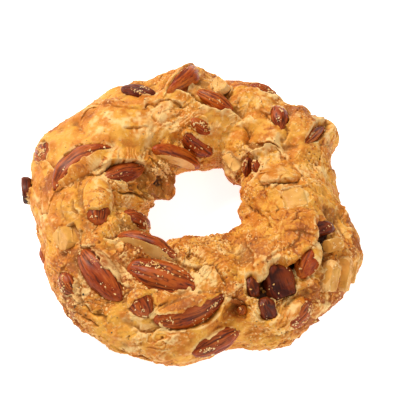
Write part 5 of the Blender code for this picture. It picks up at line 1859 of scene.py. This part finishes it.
@dataclass
class AlmondPiece:
    """One almond in full detail: furrowed skin, broken faces of flesh."""

    body: AlmondBody
    sides: int = 56
    rings: int = 40

    def furrows(self, places: np.ndarray, local: np.ndarray) -> np.ndarray:
        """Depth of the lengthwise furrows.

        Args:
            places: points of a ball that the almond is shaped from.
            local: the same points of the almond.

        Returns:
            The depth at each point, from 0 to 1.
        """
        seed = self.body.almond.seed
        turn = np.arctan2(places[:, 1], places[:, 0])
        wander = 0.14 * soft_noise(local + seed, 4.5, 91)
        ring = 6.0 * np.stack([np.cos(turn + wander), np.sin(turn + wander), 0.06 * places[:, 2]], -1)
        lines = np.abs(soft_noise(ring + seed, 0.8, 92)) * 2.2
        fade = 1.0 - smooth_step(np.abs(places[:, 2]), 0.8, 1.0)
        faint = 0.15 if self.body.almond.tone is Tone.BLANCHED else 1.0
        return np.clip(1.0 - lines, 0.0, 1.0) * fade * faint

    def mesh(self) -> bpy.types.Mesh:
        """Shape the almond.

        Returns:
            Its mesh, in place and in metres.
        """
        almond, shape = self.body.almond, self.body
        body = ball(self.sides, self.rings)
        places = np.array([v.co[:] for v in body.verts])
        along = places[:, 2]
        ring = np.sqrt(np.clip(1.0 - along**2, 1e-9, 1.0))
        scale = np.where(np.abs(along) > 0.9999, 0.0, shape.girth(along) / ring)
        beside = places[:, 0] * scale * shape.half_width + shape.bow(along * shape.half_length)
        upward = places[:, 1] * scale * shape.half_thickness
        local = np.stack([along * shape.half_length, beside, upward], -1)
        depth = self.furrows(places, local)
        seed = almond.seed
        halves = np.array([shape.half_length, shape.half_width, shape.half_thickness])
        rounding = unit(local / halves**2)
        relief = -0.30 * depth + 0.34 * soft_noise(local + seed, 4.2, 93)
        relief = relief + 0.06 * soft_noise(local + seed, 0.9, 94)
        local = local + relief[:, None] * rounding
        # How deep each furrow is; the skin's finish paints shade into it.
        layer = body.verts.layers.float.new("furrow")
        for vert, spot, deep in zip(body.verts, local, depth):
            vert.co = Vector(spot)
            vert[layer] = float(deep)
        for cut in almond.cuts:
            self.break_along(body, cut)
        bmesh.ops.recalc_face_normals(body, faces=body.faces[:])
        self.roughen_breaks(body, float(seed))
        mesh = smooth_mesh(almond.node, body)
        flat = np.zeros(len(mesh.vertices) * 3)
        mesh.vertices.foreach_get("co", flat)
        lie = mesh.attributes.new("lie", "FLOAT_VECTOR", "POINT")
        lie.data.foreach_set("vector", (flat + seed).astype(np.float32))
        mesh.transform(self.body.placing() @ Matrix.Scale(MM, 4))
        return mesh

    def break_along(self, body: bmesh.types.BMesh, cut: Cut) -> None:
        """Break the almond flat and close the break with a slightly hollow face of flesh.

        Args:
            body: the almond.
            cut: the break.
        """
        normal = Vector(cut.facing).normalized()
        parts = bmesh.ops.bisect_plane(
            body, geom=body.verts[:] + body.edges[:] + body.faces[:], plane_co=normal * cut.distance,
            plane_no=normal, clear_outer=True,
        )
        rim = [g for g in parts["geom_cut"] if isinstance(g, bmesh.types.BMEdge)]
        if not rim:
            return
        made = bmesh.ops.edgenet_fill(body, edges=rim)["faces"]
        for face in made:
            face.material_index = FLESH
        inner = bmesh.ops.inset_region(body, faces=made, thickness=0.22, depth=-0.02)["faces"]
        for face in inner:
            face.material_index = FLESH
        bmesh.ops.triangulate(body, faces=made)

    def roughen_breaks(self, body: bmesh.types.BMesh, seed: float) -> None:
        """Give the broken faces the tooth of snapped almond and wear their rims round.

        Args:
            body: the almond.
            seed: the almond's own number.
        """
        broken = flesh_faces(body)
        if not broken:
            return
        around = {edge for face in broken for edge in face.edges if edge.calc_length() > 0.7}
        long_edges = [edge for edge in body.edges if edge in around]
        bmesh.ops.subdivide_edges(body, edges=long_edges, cuts=3, use_grid_fill=True)
        bmesh.ops.triangulate(body, faces=flesh_faces(body))
        body.normal_update()
        bared = {vert for face in flesh_faces(body) for vert in face.verts}
        verts = [vert for vert in body.verts if vert in bared]
        spots = np.array([vert.co[:] for vert in verts])
        tooth = 0.16 * soft_noise(spots + seed, 2.6, 95) + 0.10 * soft_noise(spots + seed, 0.9, 96)
        for vert, lift in zip(verts, tooth):
            vert.co += vert.normal * float(lift)
        rim = [vert for vert in verts if any(face.material_index == SKIN for face in vert.link_faces)]
        worn = {edge.other_vert(vert) for vert in rim for edge in vert.link_edges} | set(rim)
        rim = [vert for vert in body.verts if vert in worn]
        every_way = {"use_axis_x": True, "use_axis_y": True, "use_axis_z": True}
        for _ in range(3):
            bmesh.ops.smooth_vert(body, verts=rim, factor=0.5, **every_way)

    def place(self, skin: bpy.types.Material, flesh: bpy.types.Material) -> None:
        """Put the almond in the scene in place of its CAD node.

        Args:
            skin: the finish of its skin.
            flesh: the finish of its breaks, which on a dark almond are skinned over.
        """
        almond = self.body.almond
        shown = skin if almond.tone is Tone.DARK else flesh
        place_piece(almond.name + "_almond", self.mesh(), [skin, shown], almond.node)


@dataclass
class Grains:
    """Small grains of one kind, between two sizes, strewn over the bake and sunk a little into it."""

    name: str
    sizes: tuple[float, float]
    flatness: float
    draw: int

    def build(
        self, spots: list[np.ndarray], outs: list[np.ndarray], material: bpy.types.Material
    ) -> None:
        """One mesh of all the grains.

        Args:
            spots: where each grain sits, in the part's frame.
            outs: which way is out of the surface there.
            material: their finish.
        """
        draw = np.random.default_rng(self.draw)
        heap = bmesh.new()
        single = bpy.data.meshes.new(self.name + "_one")
        for spot, out in zip(spots, outs):
            size = self.sizes[0] * (self.sizes[1] / self.sizes[0]) ** (draw.uniform() ** 1.8)
            body = bmesh.new()
            bmesh.ops.create_icosphere(body, subdivisions=1, radius=0.5 * size)
            for vert in body.verts:
                vert.co *= float(draw.uniform(0.62, 1.3))
            turn = Vector(out).to_track_quat("Z", "Y").to_matrix().to_4x4()
            spin = Matrix.Rotation(float(draw.uniform(0, 6.28)), 4, "Z")
            squash = Matrix.Diagonal((1.0, float(draw.uniform(0.6, 1.0)), self.flatness, 1.0))
            placing = Matrix.Scale(MM, 4) @ Matrix.Translation(Vector(spot))
            body.transform(placing @ turn @ spin @ squash)
            body.to_mesh(single)
            body.free()
            heap.from_mesh(single)
        bpy.data.meshes.remove(single)
        mesh = bpy.data.meshes.new(self.name)
        heap.to_mesh(mesh)
        heap.free()
        place_piece(self.name, mesh, [material])


def grains_on_almonds(bodies: list[AlmondBody], draw: int) -> tuple[list[np.ndarray], list[np.ndarray]]:
    """Where crumbs stick to the bare faces of the almonds.

    Args:
        bodies: the almonds.
        draw: the random draw.

    Returns:
        The places, in the part's frame, and which way is out at each.
    """
    random = np.random.default_rng(draw)
    spots, outs = [], []
    for body in bodies:
        count = 4 * CRUMBED.get(body.almond.name, USUAL_CRUMB)
        heaps = random.uniform(-0.8, 0.8, (4 + count // 10, 2))
        for _ in range(count):
            share = heaps[random.integers(len(heaps))] + random.normal(0.0, 0.13, 2)
            along = float(np.clip(share[0], -0.9, 0.9)) * body.half_length
            reach = body.half_width * float(body.girth(np.array(along / body.half_length)))
            beside = float(np.clip(share[1], -0.85, 0.85)) * reach
            side = beside + float(body.bow(np.array(along)))
            height = float(body.top(np.array(along), np.array(side)))
            spot = body.centre + along * body.length_axis + (height - 0.05) * body.out_axis
            spot = spot + side * body.side_axis
            spots.append(spot - MIDDLE_OF_OUTLINE)
            outs.append(unit(body.out_axis + 0.8 * beside / max(reach, 0.1) * body.side_axis))
    return spots, outs


def grains_on_crust(
    crust: Crust, count: int, draw: int, sink: float
) -> tuple[list[np.ndarray], list[np.ndarray]]:
    """Where grains sit on the crust, more of them where it is rough.

    Args:
        crust: the finished crust.
        count: how many grains.
        draw: the random draw.
        sink: how far each is sunk in, in millimetres.

    Returns:
        The places, in the part's frame, and which way is out at each.
    """
    random = np.random.default_rng(draw)
    skin = crust.skin()
    normals = crust.normals(skin)
    weight = np.where((crust.over > -20) & (crust.over < 205), crust.rough**2, 0.0)
    weight *= np.clip(0.25 + 2.0 * soft_noise(crust.plain, 5.0, 64), 0.02, 2.0) ** 2
    # No grains where the crust holds dark painted shadow.
    weight *= crust.deep < 0.25
    chosen = random.choice(len(skin), count, p=weight / weight.sum())
    return list(skin[chosen] - sink * normals[chosen]), list(normals[chosen])


@dataclass(frozen=True)
class Lamp:
    """A square soft light aimed at the part: its place and size in metres, its power in watts."""

    name: str
    place: tuple[float, float, float]
    size: float
    power: float
    colour: str

    def build(self) -> None:
        """Put the light in the scene."""
        light = bpy.data.lights.new(self.name, "AREA")
        light.size = self.size
        light.energy = self.power
        light.color = from_hex(self.colour)[:3]
        holder = link(self.name, light)
        holder.location = self.place
        holder.rotation_euler = (AIM - Vector(self.place)).to_track_quat("-Z", "Y").to_euler()


# Where the lights are aimed: the middle of the part, a little over the table.
AIM = Vector((0.0, 0.0, 0.01))
LAMPS = (
    Lamp("key", (-0.42, 0.38, 0.62), 0.36, 7.2, "#fff8ec"),
    Lamp("fill", (0.50, -0.55, 0.55), 0.60, 3.0, "#fffdf8"),
)


@dataclass(frozen=True)
class Studio:
    """A pale table top under a soft key light from the upper left, and the camera.

    The camera looks at a place in millimetres, from a distance in millimetres; its focal length
    is given in pixels of the photograph. The room's light is a share of full white.
    """

    look_at: tuple[float, float, float] = (3.25, 4.3, 13.0)
    elevation: float = 57.0
    distance: float = 460.0
    focal_pixels: float = 1411.0
    image_pixels: float = 400.0
    sensor_mm: float = 36.0
    room_colour: str = "#fbfdfc"
    room_light: float = 0.44
    table_metres: float = 4.0

    def table(self) -> None:
        """A wide, matt, white table top."""
        body = bmesh.new()
        bmesh.ops.create_grid(body, x_segments=2, y_segments=2, size=0.5 * self.table_metres)
        mesh = smooth_mesh("table_top", body)
        mesh.materials.append(WhiteCard().make())
        link("table_top", mesh)

    def room(self) -> None:
        """The light that comes from all round."""
        world = bpy.data.worlds.new("soft_room")
        world.use_nodes = True
        sky = world.node_tree.nodes["Background"]
        sky.inputs["Color"].default_value = from_hex(self.room_colour)
        sky.inputs["Strength"].default_value = self.room_light
        bpy.context.scene.world = world

    def camera(self) -> None:
        """The camera at the photograph's angle."""
        data = bpy.data.cameras.new("camera")
        data.sensor_width = self.sensor_mm
        data.lens = self.focal_pixels / self.image_pixels * self.sensor_mm
        data.clip_start, data.clip_end = 0.01, 20.0
        rise = math.radians(self.elevation)
        back = Vector((0.0, -math.cos(rise), math.sin(rise)))
        camera = link("camera", data)
        camera.location = (Vector(self.look_at) + back * self.distance) * MM
        camera.rotation_euler = back.to_track_quat("Z", "Y").to_euler()
        bpy.context.scene.camera = camera

    def build(self) -> None:
        """Table, lights, surrounding light and camera."""
        self.table()
        for lamp in LAMPS:
            lamp.build()
        self.room()
        bpy.context.scene.view_settings.view_transform = "Standard"
        self.camera()


def main() -> None:
    """Build the tarallo's looks piece by piece, then the studio."""
    logging.basicConfig(level=logging.INFO, format="%(message)s")
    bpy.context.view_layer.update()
    bodies = [AlmondBody(almond) for almond in ALMONDS]
    crust = Crust()
    crust.build(bodies, BakedDough().make())
    skins = {tone: finish.make() for tone, finish in SKINS.items()}
    golden = AlmondFlesh().make()
    # Paler flesh: partly its own colour, partly painted light for breaks that lie in shade.
    creamy_and_lit = AlmondFlesh("almond_flesh_creamy", "#f2c372", "#e3a550", "#b86f2c").make()
    browned = AlmondFlesh("almond_flesh_browned", "#dea24a", "#c88436", "#a05e26").make()
    for body in bodies:
        name = body.almond.name
        flesh = creamy_and_lit if name in CREAMY_AND_LIT else browned if name in BROWNED else golden
        AlmondPiece(body).place(skins[body.almond.tone], flesh)
    crumb = LooseGrain("dough_crumbs", "#f0cf96", "#d89c50").make()
    meal = LooseGrain("crust_meal", "#f0c684", "#d3933f").make()
    pepper = LooseGrain("ground_pepper", "#57503a", "#1c130c", 0.6).make()
    on_almonds, on_crust = grains_on_almonds(bodies, 102), grains_on_crust(crust, 9000, 104, 0.1)
    flecks = grains_on_crust(crust, 160, 106, 0.02)
    Grains("crumbs_on_almonds", (0.24, 1.0), 0.5, 101).build(*on_almonds, crumb)
    Grains("crumbs_on_crust", (0.28, 1.3), 0.6, 103).build(*on_crust, meal)
    Grains("pepper_flakes", (0.4, 0.9), 0.35, 105).build(*flecks, pepper)
    Studio().build()


if __name__ == "__main__":
    main()
